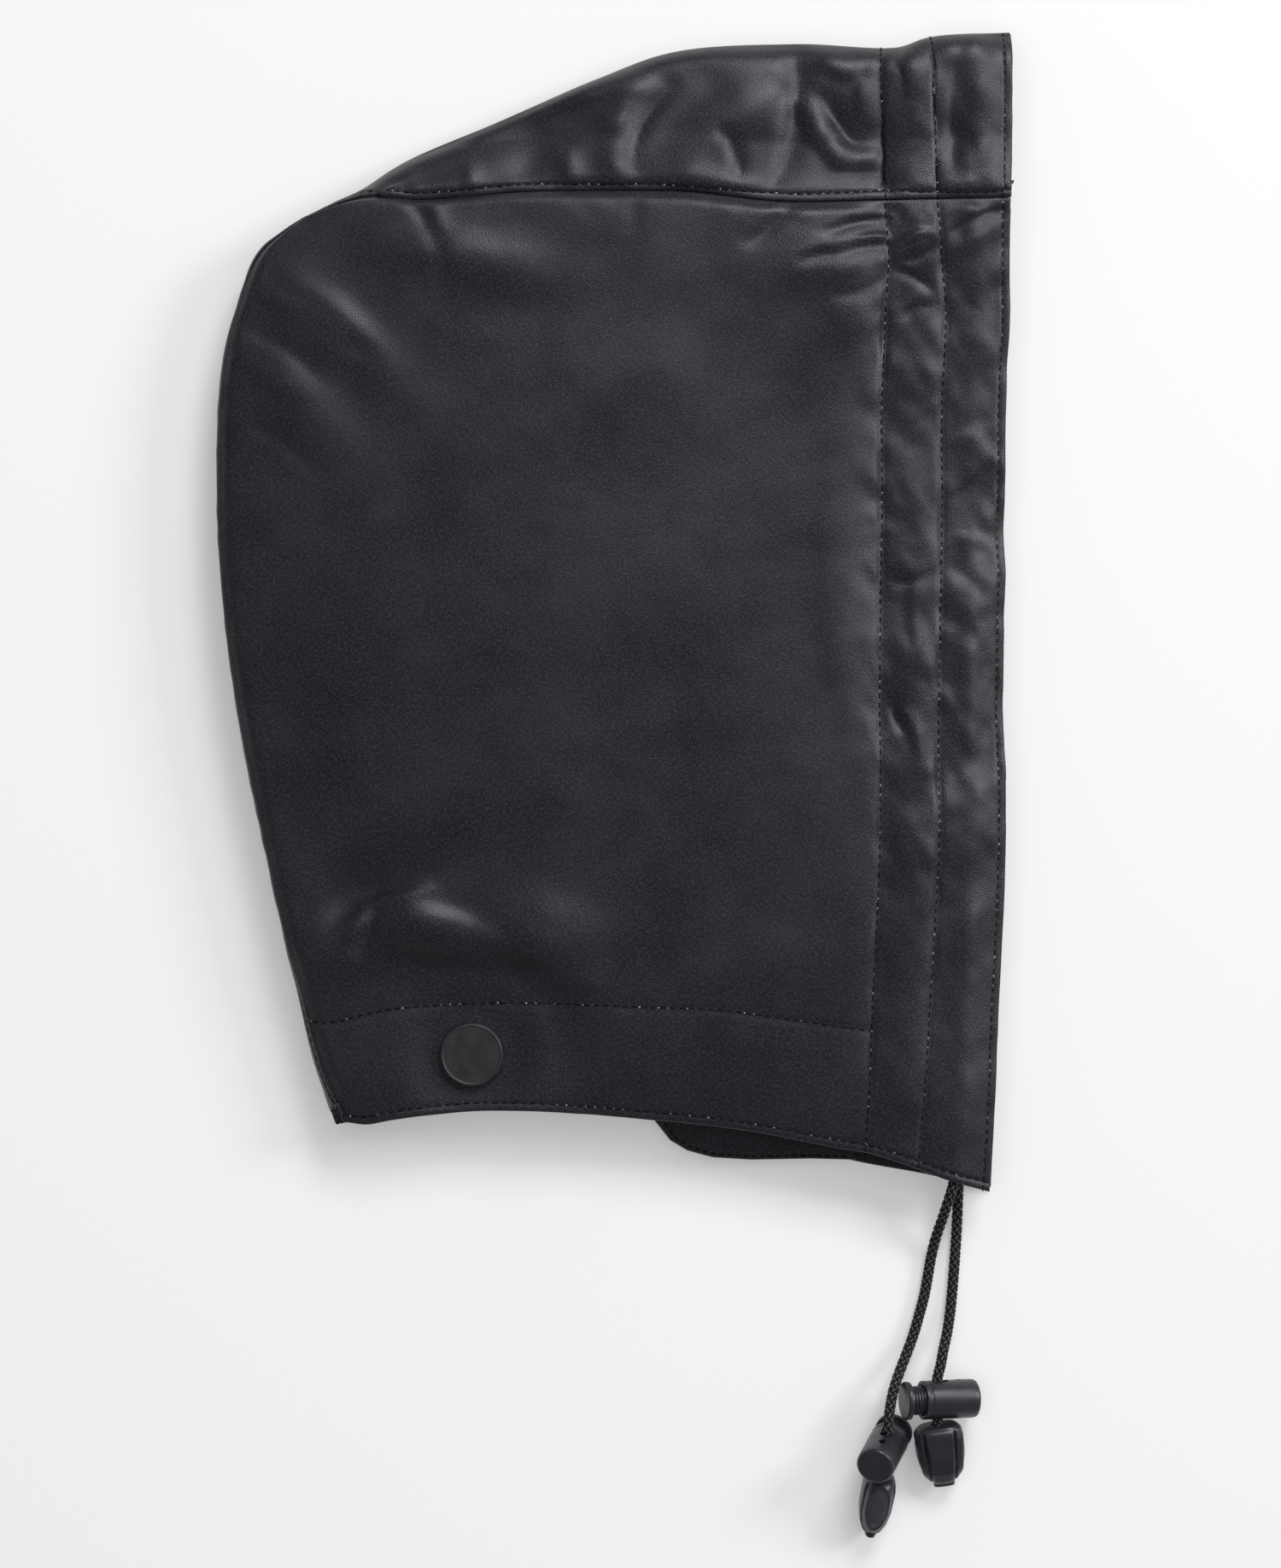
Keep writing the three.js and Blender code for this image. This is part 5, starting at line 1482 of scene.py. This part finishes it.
@dataclass
class Shell:
    """The hood's cloth: side panels, centre panel, facings, chin flap and their sewing."""

    form: HoodForm
    wardrobe: Wardrobe
    sewing: SewingTree
    chin_rise: float = 5.2
    chin_wall: float = 1.8
    chin_sides: int = 240
    chin_soft: float = 0.9
    chin_stitch: float = 1.7
    chin_reach: float = 24

    def panels(self) -> list[Piece]:
        """Builds the three panels.

        Returns:
            The panels.
        """
        form = self.form
        back = form.seam_setback
        side = Rims((1, 0.3, 1, 0.3), (0, back, 0, back))
        strip = Rims((1, 1, 0.3, 0.3), (0, 0, back, back))
        made = []
        for name, stands_for, sheet, rims, flat in (
            ("cloth_side_right", "side_panel_right", form.upper, side, (0.250, 0.335)),
            ("cloth_side_left", "side_panel_left", form.lower, side, (0.250, 0.335)),
            ("cloth_centre", "centre_panel", form.centre, strip, (0.600, 0.110)),
        ):
            piece = cloth_piece(name, sheet, 0, form.cloth, rims)
            made.append(self.finish_cloth(piece, stands_for, self.wardrobe.cotton))
        return made

    def finish_cloth(self, piece: Piece, stands_for: str, finish: Finish) -> Piece:
        """Dresses a cloth piece, ties it to the hood and hides the node that it replaces.

        Args:
            piece: the cloth.
            stands_for: the node that it replaces.
            finish: its look.

        Returns:
            The piece.
        """
        stand_in(piece, finish, HOOD_BODY, stands_for)
        return piece

    def facings(self) -> list[Piece]:
        """Builds the hems inside the face opening and the neck edge.

        Returns:
            The facings.
        """
        form, back = self.form, self.form.facing_setback
        faces, necks = (int(np.searchsorted(lines, 1.0)) + 1 for lines in (form.columns, form.rows))
        under = form.cloth + form.gap
        room = under + form.facing_room(form.columns[:faces])[:, None]
        face, strip = Rims(back=(0, 0, 0, back)), Rims(back=(0, 0, back, back))
        neck = Rims(back=(back, back, 0, 0))
        every_other = slice(None, None, 2)
        at_face = (slice(0, faces), every_other)
        at_neck = (slice(faces - 1, None, 2), slice(0, necks))
        at_back = (slice(len(form.seam_places) - necks, None), every_other)
        made = []
        for edge, side, sheet, part, depth, rims, flat in (
            ("face", "right", form.upper, at_face, room, face, (0.044, 0.36)),
            ("face", "left", form.lower, at_face, room, face, (0.044, 0.36)),
            ("face", "crown", form.centre, at_face, room, strip, (0.044, 0.12)),
            ("neck", "right", form.upper, at_neck, under, neck, (0.21, 0.036)),
            ("neck", "left", form.lower, at_neck, under, neck, (0.21, 0.036)),
            ("neck", "back", form.centre, at_back, under, strip, (0.036, 0.06)),
        ):
            piece = cloth_piece(f"hem_{edge}_{side}", sheet.part(*part), depth, form.facing_cloth, rims)
            stands_for = f"{edge}_facing_{side}"
            made.append(self.finish_cloth(piece, stands_for, self.wardrobe.facing))
        return made

    def sewn_line(self, sheet: ClothSheet, distance: Array, table: Sequence, keep: slice,
                  from_face: bool = True) -> tuple[Array, Array]:
        """Draws a line a set distance from the face edge or the neck edge.

        Args:
            sheet: the panel.
            distance: each point's distance from the edge.
            table: places along the edge and the line's distance there.
            keep: the grid lines that the sewn line crosses.
            from_face: whether the edge is the face edge.

        Returns:
            Points and outward directions.
        """
        grids = [sheet.points, sheet.inward, distance]
        if from_face:
            grids = [grid.swapaxes(0, 1) for grid in grids]
        points, leans = [], []
        for line, inward, lengths in zip(*(grid[keep] for grid in grids)):
            target = np.interp(line[0, 1 if from_face else 0], *zip(*table))
            points.append([np.interp(target, lengths, line[:, axis]) for axis in range(3)])
            leans.append([-np.interp(target, lengths, inward[:, axis]) for axis in range(3)])
        return np.array(points), unit(np.array(leans))

    def sewn_lines(self) -> dict[str, list[tuple[Array, Array]]]:
        """Draws every sewn line.

        Returns:
            Lines by the name of their stitches.
        """
        form, whole = self.form, slice(None)
        up, centre, low = form.upper, form.centre, form.lower
        low_face, low_neck = run_along(low.points, 0), run_along(low.points, 1)
        edge, seam = [(0, form.edge_stitch)], [(0, form.seam_stitch)]
        inner = int(np.searchsorted(form.columns, 1.0))
        hems = []
        for table in (OUTER_HEM, INNER_HEM):
            hems.append(self.sewn_line(up, form.upper_from_face, table, slice(2, -4)))
            hems.append(self.sewn_line(centre, form.centre_from_face, table, slice(2, -2)))
        return {
            "sewn_seam": [self.sewn_line(centre, form.centre_reach, seam, slice(5, -1), False)],
            "sewn_hem": hems,
            "sewn_edge": [
                self.sewn_line(up, form.upper_from_face, edge, whole),
                self.sewn_line(centre, form.centre_from_face, edge, slice(2, -2)),
                self.sewn_line(low, low_face, edge, whole),
                self.sewn_line(up, form.upper_from_neck, edge, slice(3, -3), False),
                self.sewn_line(low, low_neck, edge, slice(3, -3), False),
            ],
            "sewn_neck_band": [
                self.sewn_line(up, form.upper_from_neck, NECK_BAND, slice(inner, -3), False),
            ],
        }

    def stitches(self) -> list[Piece]:
        """Sews every line.

        Returns:
            The stitches.
        """
        holes = Stitching(length=0.5, width=0.48, height=0.4, shift=1.45, share=0.3, seed=8)
        made = []
        for name, lines in self.sewn_lines().items():
            made.append(self.sewing.sew(name, lines, Stitching(), self.wardrobe.thread))
            made.append(self.sewing.sew(f"{name}_holes", lines, holes, self.wardrobe.needle_hole))
        for piece in made:
            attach(piece, HOOD_BODY)
        return made

    def chin_flap(self) -> list[Piece]:
        """Builds the doubled flap that shows below the neck edge.

        Returns:
            The flap and its stitches.
        """
        outline = np.array([self.form.place(x, y, 0)[:2] for x, y in CHIN_OUTLINE])
        middle = self.form.place(*CHIN_MIDDLE, 0)[:2]
        steps = np.linalg.norm(np.roll(outline, -1, 0) - outline, axis=1)
        track = np.concatenate([[0], np.cumsum(steps)])
        closed = np.vstack([outline, outline[:1]])
        ask = np.linspace(0, track[-1], self.chin_sides, endpoint=False)
        ring = np.stack([np.interp(ask, track, closed[:, axis]) for axis in range(2)], 1)
        size, count = len(ring), len(CHIN_RINGS)
        points, faces = [], []
        for layer, way in enumerate((1, -1)):
            tip = 2 * count * size + layer
            for band, share in enumerate(CHIN_RINGS):
                points.append(self.chin_ring(middle, ring, share, way))
                here = (layer * count + band) * size
                for i in range(size):
                    j = (i + 1) % size
                    low = (here - size + i, here - size + j) if band else (tip,)
                    faces.append((low[0], here + i, here + j, *low[1:])[::way])
        tips = [[*middle, self.chin_rise + self.chin_wall], [*middle, self.chin_rise]]
        points = np.concatenate(points + [np.array(tips)])
        top_rim, low_rim = (count - 1) * size, (2 * count - 1) * size
        for i in range(size):
            j = (i + 1) % size
            faces.append((top_rim + i, low_rim + i, low_rim + j, top_rim + j))
        flat = np.zeros(len(points))
        flap = make_object("cloth_chin_flap", points, faces, points[:, :2], {"crest": flat, "rim": flat})
        self.finish_cloth(flap, "chin_flap", self.wardrobe.cotton)
        share = 1 - self.chin_stitch / self.chin_reach
        sewn = lerp(middle, ring[(ask > 1) & (ask < track[CHIN_TIP])], share)
        line = np.column_stack([sewn, np.full(len(sewn), self.chin_rise + self.chin_wall - 0.05)])
        lean = np.tile([0.0, 0.0, 1.0], (len(line), 1))
        kind = Stitching(pitch=2.5, length=1.9)
        thread = self.sewing.sew("sewn_chin_flap", [(line, lean)], kind, self.wardrobe.thread)
        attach(thread, HOOD_BODY)
        return [flap, thread]

    def chin_ring(self, middle: Array, ring: Array, share: float, way: int) -> Array:
        """Draws one ring of the chin flap, lower towards its soft rim and its sewn line.

        Args:
            middle: the flap's middle.
            ring: points along its outline.
            share: how far out the ring lies.
            way: 1 on the upper side and -1 on the lower.

        Returns:
            The ring's points.
        """
        spot = lerp(middle, ring, share)
        from_edge = (1 - share) * np.linalg.norm(ring - middle, axis=1)
        drop = np.clip(1 - from_edge / self.chin_soft, 0, 1) ** 2
        soft = self.chin_wall / 2 * np.sqrt(np.clip(1 - drop, 0.05, 1))
        z = self.chin_rise + self.chin_wall / 2 + soft * way
        if way > 0:
            wave = 0.25 * noise(spot[:, 0], spot[:, 1], 14, 71)
            z = z - 0.22 * bump(from_edge - self.chin_stitch, 0.5) + np.minimum(0, wave)
        return np.column_stack([spot, z])


@dataclass
class PressStuds:
    """Three press studs: a lacquered cap outside and a steel socket inside."""

    form: HoodForm
    wardrobe: Wardrobe
    cap_radius: float = 9.9
    cap_height: float = 2.2
    post_radius: float = 2.0
    post_reach: float = 4.6
    socket_radius: float = 5.5
    socket_height: float = 3.0
    recess_radius: float = 3.5
    recess_depth: float = 1.4
    stack: float = 3.0
    sides: int = 96

    def cap_profile(self) -> list[tuple[float, float]]:
        """Draws the cap from its post to its dished face, which has a fine rolled rim.

        Returns:
            The profile.
        """
        r, h = self.cap_radius, self.cap_height
        return rounded([
            (0, -self.post_reach, 0), (self.post_radius, -self.post_reach, 0.2), (self.post_radius, 0, 0),
            (r - 0.9, 0.0, 0.1), (r, 0.45, 0.5), (r, h - 0.7, 0.4), (r - 0.55, h, 0.35),
            (r - 1.05, h - 0.05, 0.2), (r - 1.25, h - 0.22, 0.12), (r - 1.6, h - 0.2, 0.1),
            (4.0, h - 0.1, 1.0), (0, h - 0.06, 0),
        ])

    def socket_profile(self) -> list[tuple[float, float]]:
        """Draws the socket with its recess, which looks down.

        Returns:
            The profile.
        """
        r, h = self.socket_radius, self.socket_height
        return rounded([
            (0, 0, 0), (r, 0, 0.4), (r, -0.9, 0.3), (r - 0.9, -1.3, 0.3), (r - 1.0, -h, 0.35),
            (self.recess_radius, -h, 0.3), (self.recess_radius, -h + self.recess_depth, 0.2),
            (0, -h + self.recess_depth, 0),
        ])

    def build(self) -> list[Piece]:
        """Builds all three studs.

        Returns:
            Caps and sockets.
        """
        form, made = self.form, []
        for name, centre, level, sign in (
            ("right", form.right_stud, form.right_stud[2], 1.0),
            ("left", form.left_stud, form.underside_lift, -1.0),
            ("back", form.back_stud, form.underside_lift, -1.0),
        ):
            side = np.array([1.0, 0, 0])
            up = np.array([0, 0, sign])
            for kind, profile, drop, finish, slot in (
                ("cap", self.cap_profile(), form.gap, self.wardrobe.stud, "stud_black"),
                ("socket", self.socket_profile(), form.gap - self.stack, self.wardrobe.steel, "stud_metal"),
            ):
                origin = np.array([centre[0], centre[1], level + sign * drop])
                points, faces = lathe(profile, self.sides)
                pose = Pose(origin, side, up, np.cross(side, up))
                piece = make_object(f"press_stud_{kind}_{name}", pose.put(points), faces)
                piece.data.set_sharp_from_angle(angle=math.radians(SHARP_STUD))
                made.append(stand_in(piece, finish, HOOD_BODY, f"stud_{kind}_{name}"))
        return made


CORD_A_ROOT = (105.7, -174.0, 14.9)
CORD_A_ROUTE = (
    (105.1, -177.2, 15.1), (104.2, -180.5, 14.4), (103.2, -184.0, 12.6), (102.2, -188.0, 9.7),
    (101.1, -192.0, 6.5), (100.0, -196.5, 3.6), (99.0, -201.5, 2.0), (98.1, -207.0, 1.7),
    (97.0, -213.0, 1.7), (95.4, -219.0, 1.9), (93.6, -225.0, 2.7), (91.2, -231.0, 4.7), (88.7, -236.6, 7.9),
    (86.8, -241.4, 11.5), (85.8, -245.2, 14.0), (85.2, -248.9, 15.4), (84.87, -252.8, 15.27),
    (84.53, -255.8, 13.93), (84.2, -258.8, 12.6), (83.87, -261.8, 11.27), (83.53, -264.8, 9.93),
    (83.15, -267.7, 9.65), (82.67, -270.4, 8.98), (82.19, -273.1, 8.32), (81.7, -275.8, 7.62),
)
CORD_B_ROOT = (107.2, -175.3, 3.2)
CORD_B_ROUTE = (
    (107.5, -178.6, 3.2), (107.4, -182.5, 3.0), (107.3, -187.0, 2.3), (107.1, -192.5, 1.8),
    (106.7, -199.0, 1.7), (106.2, -206.0, 1.7), (105.6, -213.0, 1.8), (104.9, -219.0, 2.6),
    (103.9, -224.5, 4.4), (102.6, -229.5, 6.8), (101.6, -234.0, 8.8), (100.6, -237.9, 9.3),
    (100.6, -241.2, 9.3), (100.6, -244.5, 9.3), (100.6, -247.8, 9.3), (100.6, -251.1, 9.3),
    (100.8, -254.5, 8.8), (101.2, -257.5, 8.1), (101.6, -260.5, 7.4),
)


@dataclass
class Drawcord:
    """The braided cord: its run inside the hem and its two free ends."""

    form: HoodForm
    wardrobe: Wardrobe
    diameter: float = 3.2
    strands: int = 5
    pitch: float = 1.3
    plait: float = 0.5
    plait_middle: float = 0.75
    root_row: int = 9

    def tube(self, name: str, route: Array, step: float, sides: int) -> tuple[Piece, Array]:
        """Braids a tube along a route.

        Args:
            name: the piece's name.
            route: the points that it follows.
            step: distance between rings.
            sides: corners of each ring.

        Returns:
            The tube and the centreline that it follows.
        """
        line = Line(route)
        lengths = np.linspace(0, line.length, max(8, int(line.length / step)))
        path = line.at_length(lengths)
        tangents = unit(np.gradient(path, axis=0))
        normal = unit(np.cross(tangents[0], [0.3, 0.2, 1.0]))
        normals = []
        for tangent in tangents:
            normal = unit(normal - tangent * (normal @ tangent))
            normals.append(normal)
        normals = np.array(normals)
        sideways = np.cross(tangents, normals)
        turn = np.linspace(0, 2 * math.pi, sides, endpoint=False)[None, :]
        wound, advance = self.strands * turn / (2 * math.pi), lengths[:, None] / (2 * self.pitch)
        first, second = wound + advance, wound - advance
        over = (np.floor(first) + np.floor(second)) % 2 == 0
        height = np.sin(math.pi * np.where(over, first, second)) ** 2
        radius = self.diameter / 2 + self.plait * (height - self.plait_middle)
        ends = np.minimum(1, np.minimum(lengths, line.length - lengths)[:, None] / 0.5 + 0.55)
        radius = radius * ends
        rings = path[:, None] + normals[:, None] * (radius * np.cos(turn))[..., None]
        rings = rings + sideways[:, None] * (radius * np.sin(turn))[..., None]
        faces = tube_faces(len(lengths), sides)
        made = make_object(name, rings.reshape(-1, 3), faces, values={"strand": height.ravel()})
        return made, path

    def hem_run(self) -> Piece:
        """Lays the cord inside the hem, up the right side, over the crown and down the left side.

        Returns:
            The cord.
        """
        form = self.form
        column = int(np.argmin(np.abs(form.columns - form.cord_column)))
        depth = form.cloth + form.gap + self.diameter / 2 + form.cord_play
        up, over, down = (sheet.under(column, depth) for sheet in (form.upper, form.centre, form.lower))
        route = np.concatenate([up[self.root_row:-1:6], over[::8], down[-2:self.root_row:-6]])
        piece, _ = self.tube("braid_hem_run", route, 0.55, 18)
        return stand_in(piece, self.wardrobe.cord, HOOD_BODY, "drawcord_run")

    def free_end(self, name: str, root: tuple, route: Sequence) -> Piece:
        """Lays one free end on the surface.

        Args:
            name: which end.
            root: where it starts inside the hem.
            route: the points that it follows from the hem's edge.

        Returns:
            The cord.
        """
        piece, path = self.tube(f"braid_{name}", np.array([root, *route]), 0.2, 48)
        stand_in(piece, self.wardrobe.cord, HOOD_BODY, f"cord_{name}")
        return piece


@dataclass
class CordLock:
    """A spring cord lock: a barrel with a cord slot and a plunger with a ribbed neck."""

    wardrobe: Wardrobe
    name: str
    route: Sequence
    row: int
    axis: tuple
    radius: float = 6.0
    length: float = 17.8
    end_wall: float = 2.0
    shaft: float = 4.5
    play: float = 0.3
    inside: float = 10.5
    neck: float = 4.1
    head_radius: float = 5.9
    head: float = 1.8
    slot_start: float = 3.3
    slot_length: float = 5.4
    stroke: float = 3.0
    cord: float = 3.2
    sides: int = 72

    def pose(self) -> Pose:
        """Turns the lock so that its Y lies along its axis and its Z near the cord.

        Returns:
            Its place.
        """
        route = np.array(self.route)
        direction = unit(route[self.row + 1] - route[self.row - 1])
        up = unit(np.array(self.axis, float))
        side = unit(np.cross(up, direction))
        through = np.cross(side, up)
        along = self.length - self.slot_start - self.cord / 2 - self.play
        return Pose(route[self.row] - up * along, side, up, through)

    def slot(self, start: float, length: float, half: float, name: str) -> Piece:
        """Makes the cutter of an oval slot.

        Args:
            start: where the slot starts along the lock.
            length: its length.
            half: half its width.
            name: the cutter's name.

        Returns:
            The cutter.
        """
        turn = np.linspace(0, math.pi, 13)
        low = np.column_stack([-half * np.cos(turn), start + half - half * np.sin(turn)])
        high = np.column_stack([half * np.cos(turn), start + length - half + half * np.sin(turn)])
        ring = np.vstack([low, high])
        reach = 2 * self.radius
        points = np.vstack([np.column_stack([ring, np.full(len(ring), z)]) for z in (-reach, reach)])
        return make_object(name, self.pose().put(points), tube_faces(2, len(ring)))

    def barrel(self) -> Piece:
        """Builds the barrel.

        Returns:
            The barrel.
        """
        bore = self.shaft + self.play
        profile = rounded([
            (0, 0.15, 0), (self.radius - 1.9, 0.0, 0.5), (self.radius - 0.2, 0.12, 0.9),
            (self.radius, 1.6, 0.6), (self.radius, self.length - 2.3, 0.1),
            (self.radius - 0.18, self.length - 2.15, 0.08),
            (self.radius - 0.18, self.length - 1.75, 0.08), (self.radius, self.length - 1.6, 0.1),
            (self.radius, self.length, 0.4), (bore, self.length, 0.25), (bore, self.end_wall, 0.2),
            (0, self.end_wall, 0),
        ])
        points, faces = lathe(profile, self.sides)
        piece = make_object(f"cord_lock_barrel_{self.name}", self.pose().put(points), faces)
        start = self.length - self.slot_start - self.slot_length
        sight = self.slot(start - 4.3, 2.2, 1.0, "sight")
        carve(piece, [self.slot(start, self.slot_length, self.cord / 2 + self.play, "slot"), sight])
        return stand_in(piece, self.wardrobe.lock, HOOD_BODY, f"lock_barrel_{self.name}")

    def plunger(self) -> Piece:
        """Builds the plunger.

        Returns:
            The plunger.
        """
        foot = self.length + self.neck
        top = foot + self.head
        corners = [(0, self.length - self.inside, 0), (self.shaft, self.length - self.inside, 0.4)]
        for rib in range(4):
            level = self.length + 0.35 + rib * 0.95
            corners += [(self.shaft, level, 0.1), (self.shaft - 0.45, level + 0.12, 0.1),
                        (self.shaft - 0.45, level + 0.42, 0.1), (self.shaft, level + 0.54, 0.1)]
        corners += [(self.shaft, foot, 0.1), (self.head_radius, foot, 0.3),
                    (self.head_radius, top - 0.35, 0.3), (self.head_radius - 0.7, top, 0.4),
                    (self.head_radius - 1.5, top - 0.1, 0.3), (0, top - 0.02, 0)]
        points, faces = lathe(rounded(corners, 4), self.sides)
        piece = make_object(f"cord_lock_plunger_{self.name}", self.pose().put(points), faces)
        hole = self.cord + 2 * self.play
        carve(piece, [self.slot(self.length - self.slot_start - hole, hole + self.stroke, hole / 2, "hole")])
        body = f"plunger_{self.name}"
        return stand_in(piece, self.wardrobe.lock, body, f"lock_plunger_{self.name}")


@dataclass
class CordEnd:
    """A moulded end piece: a shield with a raised band down each face."""

    wardrobe: Wardrobe
    name: str
    route: Sequence
    face: tuple
    width: float = 16.2
    length: float = 20.5
    thickness: float = 9.6
    hole_depth: float = 9.0
    hole_radius: float = 1.9
    band_top: float = 9.4
    band_tip: float = 6.2
    groove_width: float = 0.7
    groove_depth: float = 0.8
    inset: float = 0.45
    corner: float = 2 / 3.0
    rings: int = 96
    sides: int = 144

    def pose(self) -> Pose:
        """Threads the piece on the last straight stretch of its cord.

        Returns:
            Its place.
        """
        route = np.array(self.route)
        direction = unit(route[-1] - route[-3])
        side = unit(np.cross(-direction, np.array(self.face, float)))
        origin = route[-1] + direction * (0.3 - self.hole_depth)
        return Pose(origin, side, -direction, np.cross(side, -direction))

    def build(self) -> Piece:
        """Builds the piece.

        Returns:
            The piece.
        """
        half_width = Line([
            (0, 0.58, 0), (0.025, 0.74, 0), (0.08, 0.88, 0), (0.2, 0.98, 0), (0.38, 1.0, 0),
            (0.55, 0.95, 0), (0.7, 0.84, 0), (0.82, 0.66, 0), (0.89, 0.5, 0), (0.905, 0.42, 0),
            (0.985, 0.4, 0), (1.0, 0.32, 0)])
        half_depth = (
            (0, 0.6), (0.02, 0.8), (0.08, 0.93), (0.2, 1), (0.55, 0.97), (0.75, 0.8), (0.9, 0.52),
            (0.93, 0.4), (0.98, 0.34), (1, 0.2))
        track = half_width.at_length(np.linspace(0, half_width.length, self.rings))
        along, wide = track[:, 0], track[:, 1] * self.width / 2
        deep = self.thickness / 2 * np.interp(along, *zip(*half_depth))
        turn = np.linspace(0, 2 * math.pi, self.sides, endpoint=False)
        cos, sin = np.cos(turn), np.sin(turn)
        x = wide[:, None] * np.sign(cos) * np.abs(cos) ** self.corner
        z = deep[:, None] * np.sign(sin) * np.abs(sin) ** self.corner
        y = np.repeat(-along[:, None] * self.length, self.sides, 1)
        band = lerp(self.band_top, self.band_tip, along)[:, None] / 2
        groove = bump(np.abs(x) - band - self.groove_width / 2, self.groove_width * 0.55)
        reach = np.clip(1 - fade(along, 0.05, 0.12), 0, 1)[:, None] * fade(along, 0.88, 0.95)[:, None]
        z = z - np.sign(z) * self.groove_depth * groove * reach * np.clip(np.abs(z) / 2, 0, 1)
        raised = 0.35 * fade(np.abs(x), band[0, 0] - 0.6, band[0, 0])
        z = z + np.sign(z) * raised * reach * np.clip(np.abs(z) / 3, 0, 1)
        oval = np.hypot(z / (0.74 * deep[:, None]), (along[:, None] - 0.45) / 0.37)
        hollow = fade(oval, 0.86, 1.0)
        x = x - np.sign(x) * self.inset * hollow + np.sign(x) * 0.12 * bump(oval - 1.06, 0.07)
        points = self.pose().put(np.stack([x, y, z], -1).reshape(-1, 3))
        # The inset oval face is painted paler by this mark: a painted reflection.
        wear_and_painted_sheen = {"wear_and_painted_sheen": 0.6 * hollow.ravel()}
        faces = tube_faces(self.rings, self.sides)
        piece = make_object(f"cord_stop_{self.name}", points, faces, values=wear_and_painted_sheen)
        bore = ((0, -self.hole_depth), (self.hole_radius, -self.hole_depth), (self.hole_radius, 4), (0, 4))
        drill, drill_faces = lathe(bore, 32)
        carve(piece, [make_object("drill", self.pose().put(drill), drill_faces)], SHARP_END)
        return stand_in(piece, self.wardrobe.cord_end, HOOD_BODY, f"cord_end_{self.name}")


# Stage


@dataclass
class Studio:
    """The pale surface, in metres, the soft light and the camera straight above, in millimetres."""

    look_at: tuple = (8.3, -53.1)
    plane: float = 17.0
    lens: float = 100.0
    sensor: float = 36.0
    view_height: float = 484.7
    surface_side: float = 10.0
    surface_level: float = -0.0005

    def camera(self) -> None:
        """Makes the camera, which sees the view's height at the cloth's own level."""
        lens = bpy.data.cameras.new("camera")
        lens.lens = self.lens
        lens.sensor_width = self.sensor
        lens.clip_start = 0.05
        lens.clip_end = 20
        placed = bpy.data.objects.new("camera", lens)
        distance = self.view_height * self.lens / self.sensor
        placed.location = Vector((*self.look_at, self.plane + distance)) * METRE
        bpy.context.collection.objects.link(placed)
        bpy.context.scene.camera = placed

    def surface(self) -> None:
        """Lays the pale surface."""
        mesh = bpy.data.meshes.new("surface")
        half, level = self.surface_side / 2, self.surface_level
        corners = [(-half, -half, level), (half, -half, level), (half, half, level), (-half, half, level)]
        mesh.from_pydata(corners, [], [(0, 1, 2, 3)])
        made = bpy.data.objects.new("surface", mesh)
        bpy.context.collection.objects.link(made)
        paper = Finish("pale_surface")
        paper.set(Base_Color=(0.56, 0.562, 0.566, 1), Roughness=0.9, Specular_IOR_Level=0.1)
        paper.set(Emission_Color=(0.99, 0.995, 1, 1), Emission_Strength=0.24)
        dress(made, paper)

    def light(self, name: str, place: Sequence[float], size: float, energy: float) -> Piece:
        """Hangs a soft light that looks at the hood.

        Args:
            name: its name.
            place: where it hangs, in metres.
            size: its side in metres.
            energy: its power in watts.

        Returns:
            The light.
        """
        lamp = bpy.data.lights.new(name, "AREA")
        lamp.shape = "SQUARE"
        lamp.size = size
        lamp.energy = energy
        made = bpy.data.objects.new(name, lamp)
        made.location = place
        toward = Vector((0, -0.03, 0)) - Vector(place)
        made.rotation_euler = toward.to_track_quat("-Z", "Y").to_euler()
        bpy.context.collection.objects.link(made)
        return made

    def lights(self, world_strength: float = 0.22) -> None:
        """Sets the light: a key from the top, one from the right, a weak fill and a pale world.

        Args:
            world_strength: how bright the pale world is.
        """
        self.light("key", (0.8, 1.95, 1.95), size=1.0, energy=49)
        self.light("side", (2.15, 0.8, 1.42), size=0.8, energy=34)
        self.light("fill", (0.0, 0.0, 2.2), size=2.4, energy=25).visible_glossy = False
        world = bpy.data.worlds.new("studio")
        bpy.context.scene.world = world
        world.use_nodes = True
        background = world.node_tree.nodes["Background"]
        background.inputs["Color"].default_value = (1, 1, 1, 1)
        background.inputs["Strength"].default_value = world_strength
        bpy.context.scene.view_settings.view_transform = "Standard"
        bpy.context.scene.view_settings.look = "None"


def main() -> None:
    """Builds the camera, the cords, the hood and the stage."""
    logging.basicConfig(level=logging.INFO, format="%(name)s %(message)s")
    studio = Studio()
    studio.camera()
    wardrobe = Wardrobe()
    form = HoodForm()
    cords = Drawcord(form, wardrobe)
    for name, root, route, row, axis, face in (
        ("a", CORD_A_ROOT, CORD_A_ROUTE, 18, (0.312, 0.355, -0.881), (1, 0, 0)),
        ("b", CORD_B_ROOT, CORD_B_ROUTE, 13, (-0.961, 0.0, 0.276), (0, 0, 1)),
    ):
        lock = CordLock(wardrobe, name, route, row, axis)
        companions = [lock.barrel(), lock.plunger(), CordEnd(wardrobe, name, route, face).build()]
        for piece in [cords.free_end(name, root, route), *companions]:
            log.info("built %s", piece.name)
    shell = Shell(form, wardrobe, SewingTree())
    pieces = shell.panels() + shell.facings() + shell.chin_flap() + shell.stitches()
    pieces += PressStuds(form, wardrobe).build() + [cords.hem_run()]
    for piece in pieces:
        log.info("built %s, %d faces", piece.name, len(piece.data.polygons))
    studio.surface()
    studio.lights()


if __name__ == "__main__":
    main()
